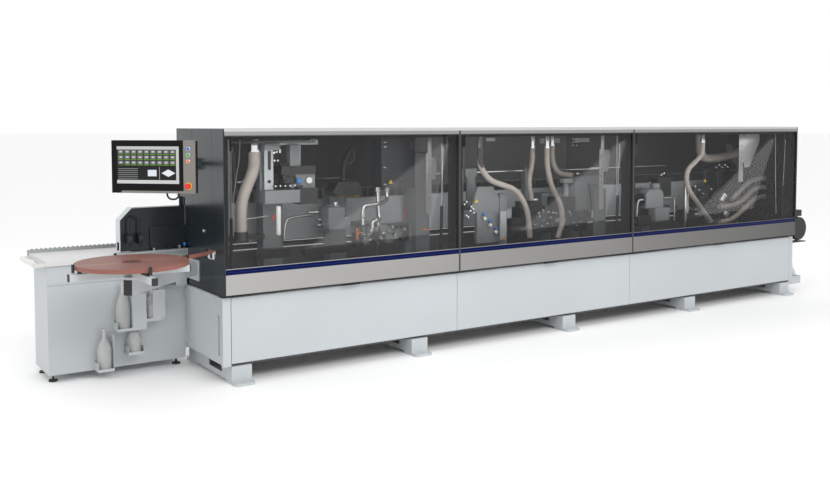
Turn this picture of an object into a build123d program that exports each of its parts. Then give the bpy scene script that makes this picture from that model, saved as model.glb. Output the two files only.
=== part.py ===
from build123d import *
import math
import os

# Edge banding machine, millimetres. X runs along the feed, Y from the operator's side to the back, Z up.
# The origin is on the floor, in the middle of the front anchor hole of the leftmost foot.

# ---- driving sizes -------------------------------------------------------------------------------
WORK_HEIGHT = 950
HOOD_LENGTH = 7103
HOOD_DEPTH = 1003
HOOD_TOP = 1965
HOOD_BOTTOM = 694
BASE_TOP = 675
BASE_BOTTOM = 143
BASE_OVERHANG = 17
BASE_FRONT_Y = 48
BASE_BACK_Y = 960
FOOT_OUTER_PITCH = 1654
FOOT_INNER_PITCH = 1754
FOOT_WIDTH = 165
FOOT_PLATE_T = 20
ANCHOR_R = 9
ANCHOR_PITCH_Y = 1000
DOOR_SEAMS = (2206, 4384)
DOOR_DEPTH = 30
DOOR_GAP = 2
DOOR_TOP_GAP = 0.8
STRIP_TOP = 902
GLASS_TOP = 1906
DIVIDER_W = 14
SIDE_T = 10
COIL_R = 395
COIL_WIDTH = 30
PANEL_W = 672
PANEL_H = 398
HOSE_R = 27
CLEAR = 0.4
SEAM_GAP = 0.3

# ---- places that follow from them ----------------------------------------------------------------
LEFT_X = -150
RIGHT_X = LEFT_X + HOOD_LENGTH
BASE_RIGHT_X = LEFT_X + HOOD_LENGTH + BASE_OVERHANG
FOOT_X = (
    0,
    FOOT_OUTER_PITCH,
    FOOT_OUTER_PITCH + FOOT_INNER_PITCH,
    FOOT_OUTER_PITCH + 2 * FOOT_INNER_PITCH,
    2 * FOOT_OUTER_PITCH + 2 * FOOT_INNER_PITCH,
)
SEAM_X = (LEFT_X + DOOR_SEAMS[0], LEFT_X + DOOR_SEAMS[1])
HINGE_Z = HOOD_TOP - 25
DOOR_SPANS = (
    (LEFT_X + SIDE_T + DOOR_GAP, SEAM_X[0] - DIVIDER_W / 2 - DOOR_GAP),
    (SEAM_X[0] + DIVIDER_W / 2 + DOOR_GAP, SEAM_X[1] - DIVIDER_W / 2 - DOOR_GAP),
    (SEAM_X[1] + DIVIDER_W / 2 + DOOR_GAP, RIGHT_X - SIDE_T - DOOR_GAP),
)
POST_X = (LEFT_X + SIDE_T + 30, SEAM_X[0], SEAM_X[1], RIGHT_X - SIDE_T - 30)
INNER_L = LEFT_X + SIDE_T
INNER_R = RIGHT_X - SIDE_T


def block(x, y, z, mode=Mode.ADD):
    """A box between two limits on each axis."""
    with Locations(((x[0] + x[1]) / 2, (y[0] + y[1]) / 2, (z[0] + z[1]) / 2)):
        Box(x[1] - x[0], y[1] - y[0], z[1] - z[0], mode=mode)


def rod(radius, start, end, mode=Mode.ADD):
    """A round bar between two points."""
    run = Vector(*end) - Vector(*start)
    with Locations(Plane(origin=start, z_dir=run)):
        Cylinder(radius, run.length, align=(Align.CENTER, Align.CENTER, Align.MIN), mode=mode)


def plate_xz(points, y, mode=Mode.ADD):
    """A plate that faces the operator, from an outline in X and Z."""
    with BuildSketch(Plane.XZ.offset(-y[1])) as outline:
        with BuildLine():
            Polyline(*points, close=True)
        make_face()
    extrude(outline.sketch, amount=y[1] - y[0], mode=mode)


def tube_along(points, radius, bend):
    """A round tube along straight runs joined by tangent arcs."""
    with BuildLine() as route:
        FilletPolyline(*points, radius=bend)
    with BuildSketch(Plane(origin=route.line @ 0, z_dir=route.line % 0)) as ring:
        Circle(radius)
    sweep(sections=ring.sketch, path=route.line)


def loop_xz(x, z_mid, outer, wall, y):
    """A belt or chain loop that stands in a plane facing the operator."""
    with BuildSketch(Plane.XZ.offset(-y[1])) as ring:
        with Locations(((x[0] + x[1]) / 2, z_mid)):
            SlotCenterToCenter(x[1] - x[0], 2 * outer)
            SlotCenterToCenter(x[1] - x[0], 2 * (outer - wall), mode=Mode.SUBTRACT)
    extrude(ring.sketch, amount=y[1] - y[0])


# ---- feet ----------------------------------------------------------------------------------------
FOOT_PLATE_L = 230
FOOT_PLATE_OVER = 45
BEAM_Y = (40, 960)
BEAM_WALL = 8
BEAM_TOP = BASE_BOTTOM - 3
FORK_SLOT_Y = (240, 515)
FORK_SLOT_Z = (62, 110)

with BuildPart() as feet:
    with BuildSketch():
        for foot_x in FOOT_X:
            front_mid = FOOT_PLATE_L / 2 - FOOT_PLATE_OVER
            with Locations((foot_x, front_mid), (foot_x, ANCHOR_PITCH_Y - front_mid)):
                RectangleRounded(FOOT_WIDTH, FOOT_PLATE_L, 32)
            with Locations((foot_x, 0), (foot_x, ANCHOR_PITCH_Y)):
                Circle(ANCHOR_R, mode=Mode.SUBTRACT)
    extrude(amount=FOOT_PLATE_T)
    for foot_x in FOOT_X:
        outer = (foot_x - FOOT_WIDTH / 2, foot_x + FOOT_WIDTH / 2)
        inner = (outer[0] + BEAM_WALL, outer[1] - BEAM_WALL)
        block(outer, BEAM_Y, (FOOT_PLATE_T, BEAM_TOP))
        block(inner, (BEAM_Y[0] + BEAM_WALL, BEAM_Y[1] + 1),
              (FOOT_PLATE_T + BEAM_WALL, BEAM_TOP - BEAM_WALL), Mode.SUBTRACT)
        block((outer[0] - 1, outer[1] + 1), FORK_SLOT_Y, FORK_SLOT_Z, Mode.SUBTRACT)

# ---- bed, track carrier and outfeed end ----------------------------------------------------------
BED_X = (LEFT_X + 40, BASE_RIGHT_X - 30)
BED_Y = (82, 928)
BED_WALL = 12
CARRIER_Y = (832, 866)
CHAIN_Y = (872, 922)
CHAIN_T = 30
CHAIN_TOP = WORK_HEIGHT + 1
SPROCKET_R = 96.7
CHAIN_MID_Z = CHAIN_TOP - SPROCKET_R - CLEAR - CHAIN_T
IDLER_X = -580
DRIVE_X = 7100
TRACK_X = (IDLER_X + SPROCKET_R + 14, DRIVE_X - SPROCKET_R - 14)
TRACK_Z = (CHAIN_MID_Z - 84, CHAIN_MID_Z + 84)
SHAFT_R = 15
BEARING_Y = (924, 944)
FIT = 0.05

with BuildPart() as machine_bed:
    block(BED_X, BED_Y, (BEAM_TOP, BASE_TOP))
    block((BED_X[0] + BED_WALL, BED_X[1] - BED_WALL), (BED_Y[0] + BED_WALL, BED_Y[1] - BED_WALL),
          (BEAM_TOP - 1, BASE_TOP - BED_WALL), Mode.SUBTRACT)
    block((INNER_L, INNER_R), CARRIER_Y, (BASE_TOP, 905))
    block((INNER_L, INNER_R), (CARRIER_Y[1], CHAIN_Y[0] + 10), TRACK_Z)
    block(TRACK_X, (CHAIN_Y[0] + 1, CHAIN_Y[1] - 4), TRACK_Z)
    bearing_z = (CHAIN_MID_Z - 34, CHAIN_MID_Z + 34)
    block((IDLER_X - 30, TRACK_X[0] + 60), BEARING_Y, bearing_z)
    block((TRACK_X[0], TRACK_X[0] + 60), (CHAIN_Y[0] + 1, BEARING_Y[1]), bearing_z)
    block((TRACK_X[1] - 60, DRIVE_X + 30), BEARING_Y, bearing_z)
    block((TRACK_X[1] - 60, TRACK_X[1]), (CHAIN_Y[0] + 1, BEARING_Y[1]), bearing_z)
    for shaft_x in (IDLER_X, DRIVE_X):
        rod(SHAFT_R + FIT, (shaft_x, BEARING_Y[0] - 1, CHAIN_MID_Z),
            (shaft_x, BEARING_Y[1] + 1, CHAIN_MID_Z), Mode.SUBTRACT)

with BuildPart() as feed_chain:
    loop_xz((IDLER_X, DRIVE_X), CHAIN_MID_Z, SPROCKET_R + CLEAR + CHAIN_T, CHAIN_T, CHAIN_Y)


def sprocket(centre_x):
    """A chain wheel with its stub shaft."""
    rod(SPROCKET_R, (centre_x, CHAIN_Y[0] + 5, CHAIN_MID_Z), (centre_x, CHAIN_Y[1] - 5, CHAIN_MID_Z))
    rod(SHAFT_R, (centre_x, CHAIN_Y[1] - 5, CHAIN_MID_Z), (centre_x, BEARING_Y[1] + 5, CHAIN_MID_Z))
    with BuildSketch(Plane.XZ.offset(-CHAIN_Y[1])) as holes:
        with Locations((centre_x, CHAIN_MID_Z)):
            with PolarLocations(58, 6):
                Circle(16)
    extrude(holes.sketch, amount=CHAIN_Y[1] - CHAIN_Y[0], mode=Mode.SUBTRACT)


with BuildPart() as drive_sprocket:
    sprocket(DRIVE_X)

with BuildPart() as idler_sprocket:
    sprocket(IDLER_X)

DRUM_X = RIGHT_X + 194
DRUM_Z = 755
DRUM_R = 136
with BuildPart() as outfeed_drum:
    rod(DRUM_R, (DRUM_X, 80, DRUM_Z), (DRUM_X, 136, DRUM_Z))
    fillet(outfeed_drum.faces().sort_by(Axis.Y)[0].edges(), 6)
    block((RIGHT_X, DRUM_X + 40), (136, 150), (DRUM_Z - 50, DRUM_Z + DRUM_R + 40))
    block((DRUM_X - 26, DRUM_X + 96), (120, 230), (DRUM_Z + DRUM_R + 6, DRUM_Z + DRUM_R + 80))
    block((DRUM_X + 20, DRUM_X + 40), (136, 150), (DRUM_Z - DRUM_R - 24, DRUM_Z - 50))
    block((BASE_RIGHT_X, DRUM_X + 98), (60, 190), (DRUM_Z - DRUM_R - 24, DRUM_Z - DRUM_R - 14))

# ---- base panels and side door -------------------------------------------------------------------
POST_W = 67
PANEL_Z = (161, 672)
PANEL_T = 3
PANEL_GAP = 4
BASE_SEAMS = (LEFT_X + 2213, LEFT_X + 4393)
FRONT_ENDS = (LEFT_X + POST_W + 3, BASE_RIGHT_X - 62)


def pan(x, y, z, skin_at_low_y):
    """A folded sheet panel, open on the side away from its skin."""
    block(x, y, z)
    hollow_y = (y[0] + PANEL_T, y[1] + 1) if skin_at_low_y else (y[0] - 1, y[1] - PANEL_T)
    block((x[0] + PANEL_T, x[1] - PANEL_T), hollow_y, (z[0] + PANEL_T, z[1] - PANEL_T), Mode.SUBTRACT)


front_cuts = (FRONT_ENDS[0], *BASE_SEAMS, FRONT_ENDS[1])
back_cuts = (BED_X[0], *BASE_SEAMS, BED_X[1])
with BuildPart() as base_panels:
    for i in range(3):
        pan((front_cuts[i] + PANEL_GAP / 2, front_cuts[i + 1] - PANEL_GAP / 2),
            (BASE_FRONT_Y, BED_Y[0]), PANEL_Z, True)
        pan((back_cuts[i] + PANEL_GAP / 2, back_cuts[i + 1] - PANEL_GAP / 2),
            (BED_Y[1], BASE_BACK_Y), PANEL_Z, False)

SIDE_HINGE_X = LEFT_X - 2
SIDE_HINGE_Y = 840
SIDE_HINGE_Z = (230, 600)
KNUCKLE_R = 6
KNUCKLE_L = 60
PIN_R = 3.5
REAR_COVER_Y = (848, BASE_BACK_Y)

with BuildPart() as base_end_covers:
    block((LEFT_X, LEFT_X + POST_W), (BASE_FRONT_Y, BED_Y[0]), (BASE_BOTTOM, BASE_TOP))
    block((LEFT_X, BED_X[0]), REAR_COVER_Y, (BASE_BOTTOM, BASE_TOP))
    block((BASE_RIGHT_X - 60, BASE_RIGHT_X), (BASE_FRONT_Y, BED_Y[0]), (BASE_BOTTOM, BASE_TOP))
    block((BED_X[1], BASE_RIGHT_X), (BED_Y[0], BASE_BACK_Y), (BASE_BOTTOM, BASE_TOP))
    for hinge_z in SIDE_HINGE_Z:
        for low in (hinge_z - KNUCKLE_L / 2 - 12.5, hinge_z + KNUCKLE_L / 2 + 0.5):
            block((SIDE_HINGE_X - KNUCKLE_R, SIDE_HINGE_X + KNUCKLE_R),
                  (SIDE_HINGE_Y, REAR_COVER_Y[0] + 8), (low, low + 12))
            rod(KNUCKLE_R, (SIDE_HINGE_X, SIDE_HINGE_Y, low), (SIDE_HINGE_X, SIDE_HINGE_Y, low + 12))
        rod(PIN_R, (SIDE_HINGE_X, SIDE_HINGE_Y, hinge_z - KNUCKLE_L / 2 - 2),
            (SIDE_HINGE_X, SIDE_HINGE_Y, hinge_z + KNUCKLE_L / 2 + 2))

SIDE_DOOR_Y = (BED_Y[0] + 2, SIDE_HINGE_Y - KNUCKLE_R - 1)
SLOT_Y = (108, 150)
SLOT_Z = (222, 532)
with BuildPart() as base_side_door:
    block((LEFT_X, LEFT_X + 26), SIDE_DOOR_Y, PANEL_Z)
    block((LEFT_X + PANEL_T, LEFT_X + 27), (SIDE_DOOR_Y[0] + PANEL_T, SIDE_DOOR_Y[1] - PANEL_T),
          (PANEL_Z[0] + PANEL_T, PANEL_Z[1] - PANEL_T), Mode.SUBTRACT)
    block((LEFT_X, LEFT_X + 22), (SLOT_Y[0] - 3, SLOT_Y[1] + 3), (SLOT_Z[0] - 3, SLOT_Z[1] + 3))
    block((LEFT_X - 1, LEFT_X + 19), SLOT_Y, SLOT_Z, Mode.SUBTRACT)
    for hinge_z in SIDE_HINGE_Z:
        span = (hinge_z - KNUCKLE_L / 2, hinge_z + KNUCKLE_L / 2)
        block((LEFT_X, LEFT_X + 3), (SIDE_DOOR_Y[1] - 1, SIDE_HINGE_Y), span)
        rod(KNUCKLE_R, (SIDE_HINGE_X, SIDE_HINGE_Y, span[0]), (SIDE_HINGE_X, SIDE_HINGE_Y, span[1]))
        rod(PIN_R + FIT, (SIDE_HINGE_X, SIDE_HINGE_Y, span[0] - 1),
            (SIDE_HINGE_X, SIDE_HINGE_Y, span[1] + 1), Mode.SUBTRACT)

# ---- hood shell ----------------------------------------------------------------------------------
WAY_Y = 824
WAY_TOP = 1400
BAND_SLOT_Y = (175, 359)
BAND_SLOT_Z = (943, 1029)
ROOF_T = 23
ROOF_SKIN = 3
BACK_BOTTOM = 1405
SIDE_SEAMS_Y = (225, 649)

ARM_HEIGHT = 1680
ARM_ROOT = (LEFT_X - 65, 640, ARM_HEIGHT)
BARREL_R = 22
BARREL_H = 30
SWIVEL_R = 10
FORK_MID = BARREL_H + 7.5
with BuildPart() as hood_left_side:
    block((LEFT_X, INNER_L), (0, HOOD_DEPTH), (HOOD_BOTTOM, HOOD_TOP))
    block((LEFT_X - 1, INNER_L + 1), (WAY_Y, HOOD_DEPTH + 1), (HOOD_BOTTOM - 1, WAY_TOP), Mode.SUBTRACT)
    block((LEFT_X - 1, INNER_L + 1), BAND_SLOT_Y, BAND_SLOT_Z, Mode.SUBTRACT)
    for seam_y in SIDE_SEAMS_Y:
        block((LEFT_X - 1, LEFT_X + 2), (seam_y - 1.5, seam_y + 1.5), (HOOD_BOTTOM - 1, HOOD_TOP + 1),
              Mode.SUBTRACT)
    block((LEFT_X - 10, LEFT_X + 1), (570, 710), (ARM_HEIGHT - 90, ARM_HEIGHT + 90))
    for middle in (ARM_HEIGHT - FORK_MID, ARM_HEIGHT + FORK_MID):
        block((ARM_ROOT[0] - 26, LEFT_X - 10), (ARM_ROOT[1] - 28, ARM_ROOT[1] + 28), (middle - 7, middle + 7))
    rod(SWIVEL_R, (ARM_ROOT[0], ARM_ROOT[1], ARM_HEIGHT - FORK_MID),
        (ARM_ROOT[0], ARM_ROOT[1], ARM_HEIGHT + FORK_MID))

with BuildPart() as hood_right_side:
    block((INNER_R, RIGHT_X), (0, HOOD_DEPTH), (HOOD_BOTTOM, HOOD_TOP))
    block((INNER_R - 1, RIGHT_X + 1), (WAY_Y, HOOD_DEPTH + 1), (HOOD_BOTTOM - 1, WAY_TOP), Mode.SUBTRACT)

with BuildPart() as hood_roof:
    block((INNER_L, INNER_R), (0, HOOD_DEPTH), (HOOD_TOP - ROOF_T, HOOD_TOP))
    block((INNER_L + ROOF_SKIN, INNER_R - ROOF_SKIN), (ROOF_SKIN, HOOD_DEPTH - ROOF_SKIN),
          (HOOD_TOP - ROOF_T - 1, HOOD_TOP - ROOF_SKIN), Mode.SUBTRACT)

OUTLET_R = 80
OUTLET_L = 60
OUTLET_X = (1500, 5300)
OUTLET_Z = 1700
BACK_SHEET_TOP = HOOD_TOP - ROOF_T
OUTLET_PLATE = 110
back_cuts = [INNER_L]
for outlet_x in OUTLET_X:
    back_cuts += [outlet_x - OUTLET_PLATE, outlet_x + OUTLET_PLATE]
back_cuts.append(INNER_R)
with BuildPart() as hood_back:
    back_y = (HOOD_DEPTH - 3, HOOD_DEPTH)
    for sheet_l, sheet_r in zip(back_cuts[0::2], back_cuts[1::2]):
        block((sheet_l, sheet_r), back_y, (BACK_BOTTOM, BACK_SHEET_TOP))
    for outlet_x in OUTLET_X:
        plate_x = (outlet_x - OUTLET_PLATE + SEAM_GAP, outlet_x + OUTLET_PLATE - SEAM_GAP)
        low_edge = OUTLET_Z - OUTLET_PLATE
        high_edge = OUTLET_Z + OUTLET_PLATE
        block(plate_x, back_y, (BACK_BOTTOM, low_edge))
        block(plate_x, back_y, (low_edge + SEAM_GAP, high_edge - SEAM_GAP))
        block(plate_x, back_y, (high_edge, BACK_SHEET_TOP))
        rod(OUTLET_R, (outlet_x, HOOD_DEPTH - 1, OUTLET_Z), (outlet_x, HOOD_DEPTH + OUTLET_L, OUTLET_Z))
        rod(OUTLET_R - 3, (outlet_x, HOOD_DEPTH - 9, OUTLET_Z),
            (outlet_x, HOOD_DEPTH + OUTLET_L + 1, OUTLET_Z), Mode.SUBTRACT)

# ---- inner frame of the hood ---------------------------------------------------------------------
FRAME_Y = (80, 140)
REAR_RAIL_Y = (930, 990)
RAIL_Z = (HOOD_TOP - ROOF_T - 58, HOOD_TOP - ROOF_T)
STRUT_Y = 100
STRUT_Z = 800
STRUT_IN_LEFT = 80
STRUT_IN_RIGHT = 130
STRUT_SIDES = [(a + STRUT_IN_LEFT, b - STRUT_IN_RIGHT) for a, b in DOOR_SPANS]
PIVOT_R = 6
BEAM_FRONT_Y = 832
GUIDE_FRONT_Y = 765
GUIDE_TOP = 1400

with BuildPart() as hood_frame:
    block((INNER_L, INNER_R), FRAME_Y, RAIL_Z)
    block((INNER_L, INNER_R), (FRAME_Y[0] + 4, FRAME_Y[1] - 4), (RAIL_Z[0] + 4, RAIL_Z[1] - 4),
          Mode.SUBTRACT)
    block((INNER_L, INNER_R), REAR_RAIL_Y, RAIL_Z)
    for post_x in POST_X:
        block((post_x - 30, post_x + 30), FRAME_Y, (BASE_TOP, RAIL_Z[0] - SEAM_GAP))
        block((post_x - 30, post_x + 30), (FRAME_Y[1] + SEAM_GAP, REAR_RAIL_Y[0] - SEAM_GAP),
              (RAIL_Z[0] + 8, RAIL_Z[0] + 48))
    for guide_x in (INNER_L + 60, *SEAM_X, INNER_R - 60):
        block((guide_x - 35, guide_x + 35), (GUIDE_FRONT_Y, BEAM_FRONT_Y - CLEAR), (BASE_TOP, GUIDE_TOP))
    for seam_x in SEAM_X:
        block((seam_x - DIVIDER_W / 2, seam_x + DIVIDER_W / 2), (-2, FRAME_Y[0] - SEAM_GAP),
              (HOOD_BOTTOM, HOOD_TOP - ROOF_T))
    for i, (left_x, right_x) in enumerate(STRUT_SIDES):
        block((POST_X[i] + 30 + SEAM_GAP, left_x - 7), (STRUT_Y - 9, STRUT_Y + 9), (STRUT_Z - 9, STRUT_Z + 9))
        rod(PIVOT_R, (left_x - 8, STRUT_Y, STRUT_Z), (left_x + 6, STRUT_Y, STRUT_Z))
        block((right_x + 7, POST_X[i + 1] - 30 - SEAM_GAP), (STRUT_Y - 9, STRUT_Y + 9), (STRUT_Z - 9, STRUT_Z + 9))
        rod(PIVOT_R, (right_x + 8, STRUT_Y, STRUT_Z), (right_x - 6, STRUT_Y, STRUT_Z))

STRIP_PLACES = ((LEFT_X + 58, 66, 1250, 1747), (LEFT_X + 1945, 58, 1215, 1745),
                (LEFT_X + 4051, 60, 1145, 1745), (LEFT_X + 6234, 74, 1344, 1885))
with BuildPart() as bracket_strips:
    for low_x, width, low_z, high_z in STRIP_PLACES:
        block((low_x, low_x + width), (146, 152), (low_z, high_z))
        hole_count = int((high_z - low_z) / 72)
        with Locations(Plane.XZ.offset(-149)):
            with Locations((low_x + width / 2, (low_z + high_z) / 2)):
                with GridLocations(1, 68, 1, hole_count):
                    Cylinder(8, 10, mode=Mode.SUBTRACT)
        block((low_x + width / 2 - 15, low_x + width / 2 + 15), (140, 146), (low_z + 10, low_z + 80))
        block((low_x + 14, low_x + width - 4), (140, 146), (high_z - 6, RAIL_Z[0] + 30))
    plate_xz(((LEFT_X + 6327, 1887), (LEFT_X + 6593, 1887), (LEFT_X + 6593, 1790), (LEFT_X + 6420, 1506),
              (LEFT_X + 6327, 1506)), (146, 150))
    block((LEFT_X + 6308, LEFT_X + 6327), (146, 150), (1560, 1860))
    plate_xz(((LEFT_X + 2003, 1700), (LEFT_X + 2046, 1700), (LEFT_X + 2060, 1640), (LEFT_X + 2046, 1511),
              (LEFT_X + 2003, 1511)), (146, 150))
    plate_xz(((LEFT_X + 4111, 1740), (LEFT_X + 4190, 1740), (LEFT_X + 4205, 1680), (LEFT_X + 4170, 1520),
              (LEFT_X + 4111, 1520)), (146, 150))

# ---- hood doors ----------------------------------------------------------------------------------
STILE_W = 14
LIP_Y = 8
GLASS_T = 6
REBATE = 9
EYE_Y = 60
EYE_DROP = 130
EYE_Z = HINGE_Z - EYE_DROP
HANDLE_W = 154


def door_frame(x, strut_x):
    """Aluminium frame of one lifting door: strip below, rail above, stiles, strut plates and pull lip."""
    z = (HOOD_BOTTOM, HOOD_TOP - ROOF_T - DOOR_TOP_GAP)
    opening_x = (x[0] + STILE_W, x[1] - STILE_W)
    opening_z = (STRIP_TOP, GLASS_TOP)
    block(x, (0, DOOR_DEPTH), z)
    block(opening_x, (-1, DOOR_DEPTH + 1), opening_z, Mode.SUBTRACT)
    block((opening_x[0] - REBATE, opening_x[1] + REBATE), (LIP_Y, DOOR_DEPTH + 1),
          (opening_z[0] - REBATE, opening_z[1] + REBATE), Mode.SUBTRACT)
    block((x[0] + 6, x[1] - 6), (4, DOOR_DEPTH + 1), (z[0] + 6, STRIP_TOP - REBATE - 4), Mode.SUBTRACT)
    for side in (0, 1):
        low = strut_x[side] - 12 if side == 0 else strut_x[side] + 8
        block((low, low + 4), (DOOR_DEPTH - 1, EYE_Y + 12), (EYE_Z - 15, z[1]))
    middle = (x[0] + x[1]) / 2
    block((middle - HANDLE_W / 2, middle + HANDLE_W / 2), (-4, 24), (z[0] - 12, z[0]))
    block((middle - HANDLE_W / 2 + 4, middle + HANDLE_W / 2 - 4), (2, 20), (z[0] - 13, z[0] - 3),
          Mode.SUBTRACT)


def door_glass(x):
    """Smoked pane that lies in the rebate of a door frame."""
    edge = STILE_W - REBATE + 1
    block((x[0] + edge, x[1] - edge), (LIP_Y, LIP_Y + GLASS_T),
          (STRIP_TOP - REBATE + 1, GLASS_TOP + REBATE - 1))


with BuildPart() as door_left_frame:
    door_frame(DOOR_SPANS[0], STRUT_SIDES[0])
with BuildPart() as door_left_glass:
    door_glass(DOOR_SPANS[0])
with BuildPart() as door_middle_frame:
    door_frame(DOOR_SPANS[1], STRUT_SIDES[1])
with BuildPart() as door_middle_glass:
    door_glass(DOOR_SPANS[1])
with BuildPart() as door_right_frame:
    door_frame(DOOR_SPANS[2], STRUT_SIDES[2])
with BuildPart() as door_right_glass:
    door_glass(DOOR_SPANS[2])

# ---- gas struts ----------------------------------------------------------------------------------
STRUT_REACH = math.hypot(EYE_Y - STRUT_Y, EYE_Z - STRUT_Z)
STRUT_DY = (EYE_Y - STRUT_Y) / STRUT_REACH
STRUT_DZ = (EYE_Z - STRUT_Z) / STRUT_REACH
TUBE_END = 480
ROD_START = 260
TUBE_R = 13
ROD_R = 5


def on_strut(x, distance):
    """A point on a strut's axis, at a distance from its lower pivot."""
    return (x, STRUT_Y + distance * STRUT_DY, STRUT_Z + distance * STRUT_DZ)


def strut_tube(x):
    """Cylinder of one gas strut with its lower eye."""
    rod(TUBE_R, on_strut(x, 20), on_strut(x, TUBE_END))
    rod(14, (x - 5, STRUT_Y, STRUT_Z), (x + 5, STRUT_Y, STRUT_Z))
    block((x - 5, x + 5), (STRUT_Y - 8, STRUT_Y + 8), (STRUT_Z, STRUT_Z + 24))
    rod(PIVOT_R + FIT, (x - 15, STRUT_Y, STRUT_Z), (x + 15, STRUT_Y, STRUT_Z), Mode.SUBTRACT)
    rod(ROD_R + FIT, on_strut(x, ROD_START - 40), on_strut(x, TUBE_END + 1), Mode.SUBTRACT)


def strut_rod(x):
    """Piston rod of one gas strut with its upper eye."""
    rod(ROD_R, on_strut(x, ROD_START), on_strut(x, STRUT_REACH - 8))
    rod(12, (x - 4, EYE_Y, EYE_Z), (x + 4, EYE_Y, EYE_Z))


with BuildPart() as strut_tubes_left:
    for strut_x in STRUT_SIDES[0]:
        strut_tube(strut_x)
with BuildPart() as strut_tubes_middle:
    for strut_x in STRUT_SIDES[1]:
        strut_tube(strut_x)
with BuildPart() as strut_tubes_right:
    for strut_x in STRUT_SIDES[2]:
        strut_tube(strut_x)
with BuildPart() as strut_rods_left:
    for strut_x in STRUT_SIDES[0]:
        strut_rod(strut_x)
with BuildPart() as strut_rods_middle:
    for strut_x in STRUT_SIDES[1]:
        strut_rod(strut_x)
with BuildPart() as strut_rods_right:
    for strut_x in STRUT_SIDES[2]:
        strut_rod(strut_x)

# ---- infeed cabinet, table and rails -------------------------------------------------------------
CABINET_X = (-1241, LEFT_X)
CABINET_Y = (856, 1306)
CABINET_BOTTOM = 60
LEDGE_Z = 754
LEDGE_IN = 12
TABLE_X = (-1252, LEFT_X)
TABLE_Y = (852, 1420)
TABLE_UNDER = 909
SHEET = 4
CHAIN_WINDOW_Y = (866, 928)
CABINET_WAY_Z = 690

with BuildPart() as infeed_cabinet:
    block(CABINET_X, CABINET_Y, (CABINET_BOTTOM, LEDGE_Z))
    block(CABINET_X, (CABINET_Y[0] + LEDGE_IN, CABINET_Y[1]), (LEDGE_Z, WORK_HEIGHT - SHEET))
    block((CABINET_X[0] + SHEET, CABINET_X[1] - SHEET), (CABINET_Y[0] + SHEET, CABINET_Y[1] - SHEET),
          (CABINET_BOTTOM + SHEET, LEDGE_Z - SHEET), Mode.SUBTRACT)
    block((CABINET_X[0] + SHEET, CABINET_X[1] - SHEET),
          (CABINET_Y[0] + LEDGE_IN + 3, CABINET_Y[1] - SHEET), (LEDGE_Z - SHEET, WORK_HEIGHT),
          Mode.SUBTRACT)
    block((LEFT_X - 100, LEFT_X - 10), (CABINET_Y[0] - 76, CABINET_Y[0] + 1), (BASE_TOP + 5, BASE_TOP + 95))
    block((CABINET_X[1] - 20, CABINET_X[1] + 1), (CABINET_Y[0] - 1, CHAIN_WINDOW_Y[1] + 4),
          (CABINET_WAY_Z, WORK_HEIGHT), Mode.SUBTRACT)

with BuildPart() as levelling_feet:
    for foot_x in (CABINET_X[0] + 46, CABINET_X[1] - 60):
        for foot_y in (CABINET_Y[0] + 70, CABINET_Y[1] - 60):
            rod(34, (foot_x, foot_y, 0), (foot_x, foot_y, 14))
            rod(8, (foot_x, foot_y, 14), (foot_x, foot_y, CABINET_BOTTOM))
            rod(13, (foot_x, foot_y, CABINET_BOTTOM - 10), (foot_x, foot_y, CABINET_BOTTOM))

ROLLER_X = -1318
ROLLER_Z = 922
ROLLER_R = 21
ROLLER_Y = (872, 1352)
JOURNAL_R = 8
with BuildPart() as infeed_table:
    block(TABLE_X, TABLE_Y, (TABLE_UNDER, WORK_HEIGHT))
    block((TABLE_X[0] + SHEET, TABLE_X[1] + 1), (TABLE_Y[0] + 3, TABLE_Y[1] - SHEET),
          (TABLE_UNDER - 1, WORK_HEIGHT - SHEET), Mode.SUBTRACT)
    block((IDLER_X - 135, TABLE_X[1] + 1), CHAIN_WINDOW_Y, (TABLE_UNDER - 1, WORK_HEIGHT + 1), Mode.SUBTRACT)
    for lug_y in ((ROLLER_Y[0] - 13, ROLLER_Y[0] - 1), (ROLLER_Y[1] + 1, ROLLER_Y[1] + 13)):
        block((ROLLER_X - 14, TABLE_X[0]), lug_y, (ROLLER_Z - 14, ROLLER_Z + 14))
        rod(JOURNAL_R + FIT, (ROLLER_X, lug_y[0] - 1, ROLLER_Z), (ROLLER_X, lug_y[1] + 1, ROLLER_Z),
            Mode.SUBTRACT)

with BuildPart() as end_roller:
    rod(ROLLER_R, (ROLLER_X, ROLLER_Y[0], ROLLER_Z), (ROLLER_X, ROLLER_Y[1], ROLLER_Z))
    rod(JOURNAL_R, (ROLLER_X, ROLLER_Y[0] - 13, ROLLER_Z), (ROLLER_X, ROLLER_Y[1] + 13, ROLLER_Z))

RAIL_Y = (TABLE_Y[1], TABLE_Y[1] + 46)
RAIL_TOP = 972
with BuildPart() as guide_rail:
    block((TABLE_X[0] - 6, TABLE_X[1]), RAIL_Y, (TABLE_UNDER + 10, RAIL_TOP))
    block((TABLE_X[0] - 7, TABLE_X[1] + 1), (RAIL_Y[0] + 10, RAIL_Y[1] - 10), (RAIL_TOP - 16, RAIL_TOP + 1),
          Mode.SUBTRACT)
    with Locations(((TABLE_X[0] + TABLE_X[1]) / 2, (RAIL_Y[0] + RAIL_Y[1]) / 2, RAIL_TOP - 2)):
        with GridLocations(36, 1, 30, 1):
            Cylinder(13, RAIL_Y[1] - RAIL_Y[0] - 20, rotation=(90, 0, 0))

FENCE_Y = (760, 822)
with BuildPart() as infeed_fence:
    block((-712, LEFT_X - 2), FENCE_Y, (930, 983))
    block((-700, LEFT_X - 14), (FENCE_Y[0] - 1, FENCE_Y[0] + 12), (944, 968), Mode.SUBTRACT)
    block((-560, -500), (790, TABLE_Y[0]), (912, 930))
    block((-300, -240), (790, TABLE_Y[0]), (912, 930))
    rod(9, (-430, 778, 983), (-430, 778, 1004))
    rod(9, (-215, 792, 983), (-215, 792, 1012))

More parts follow.
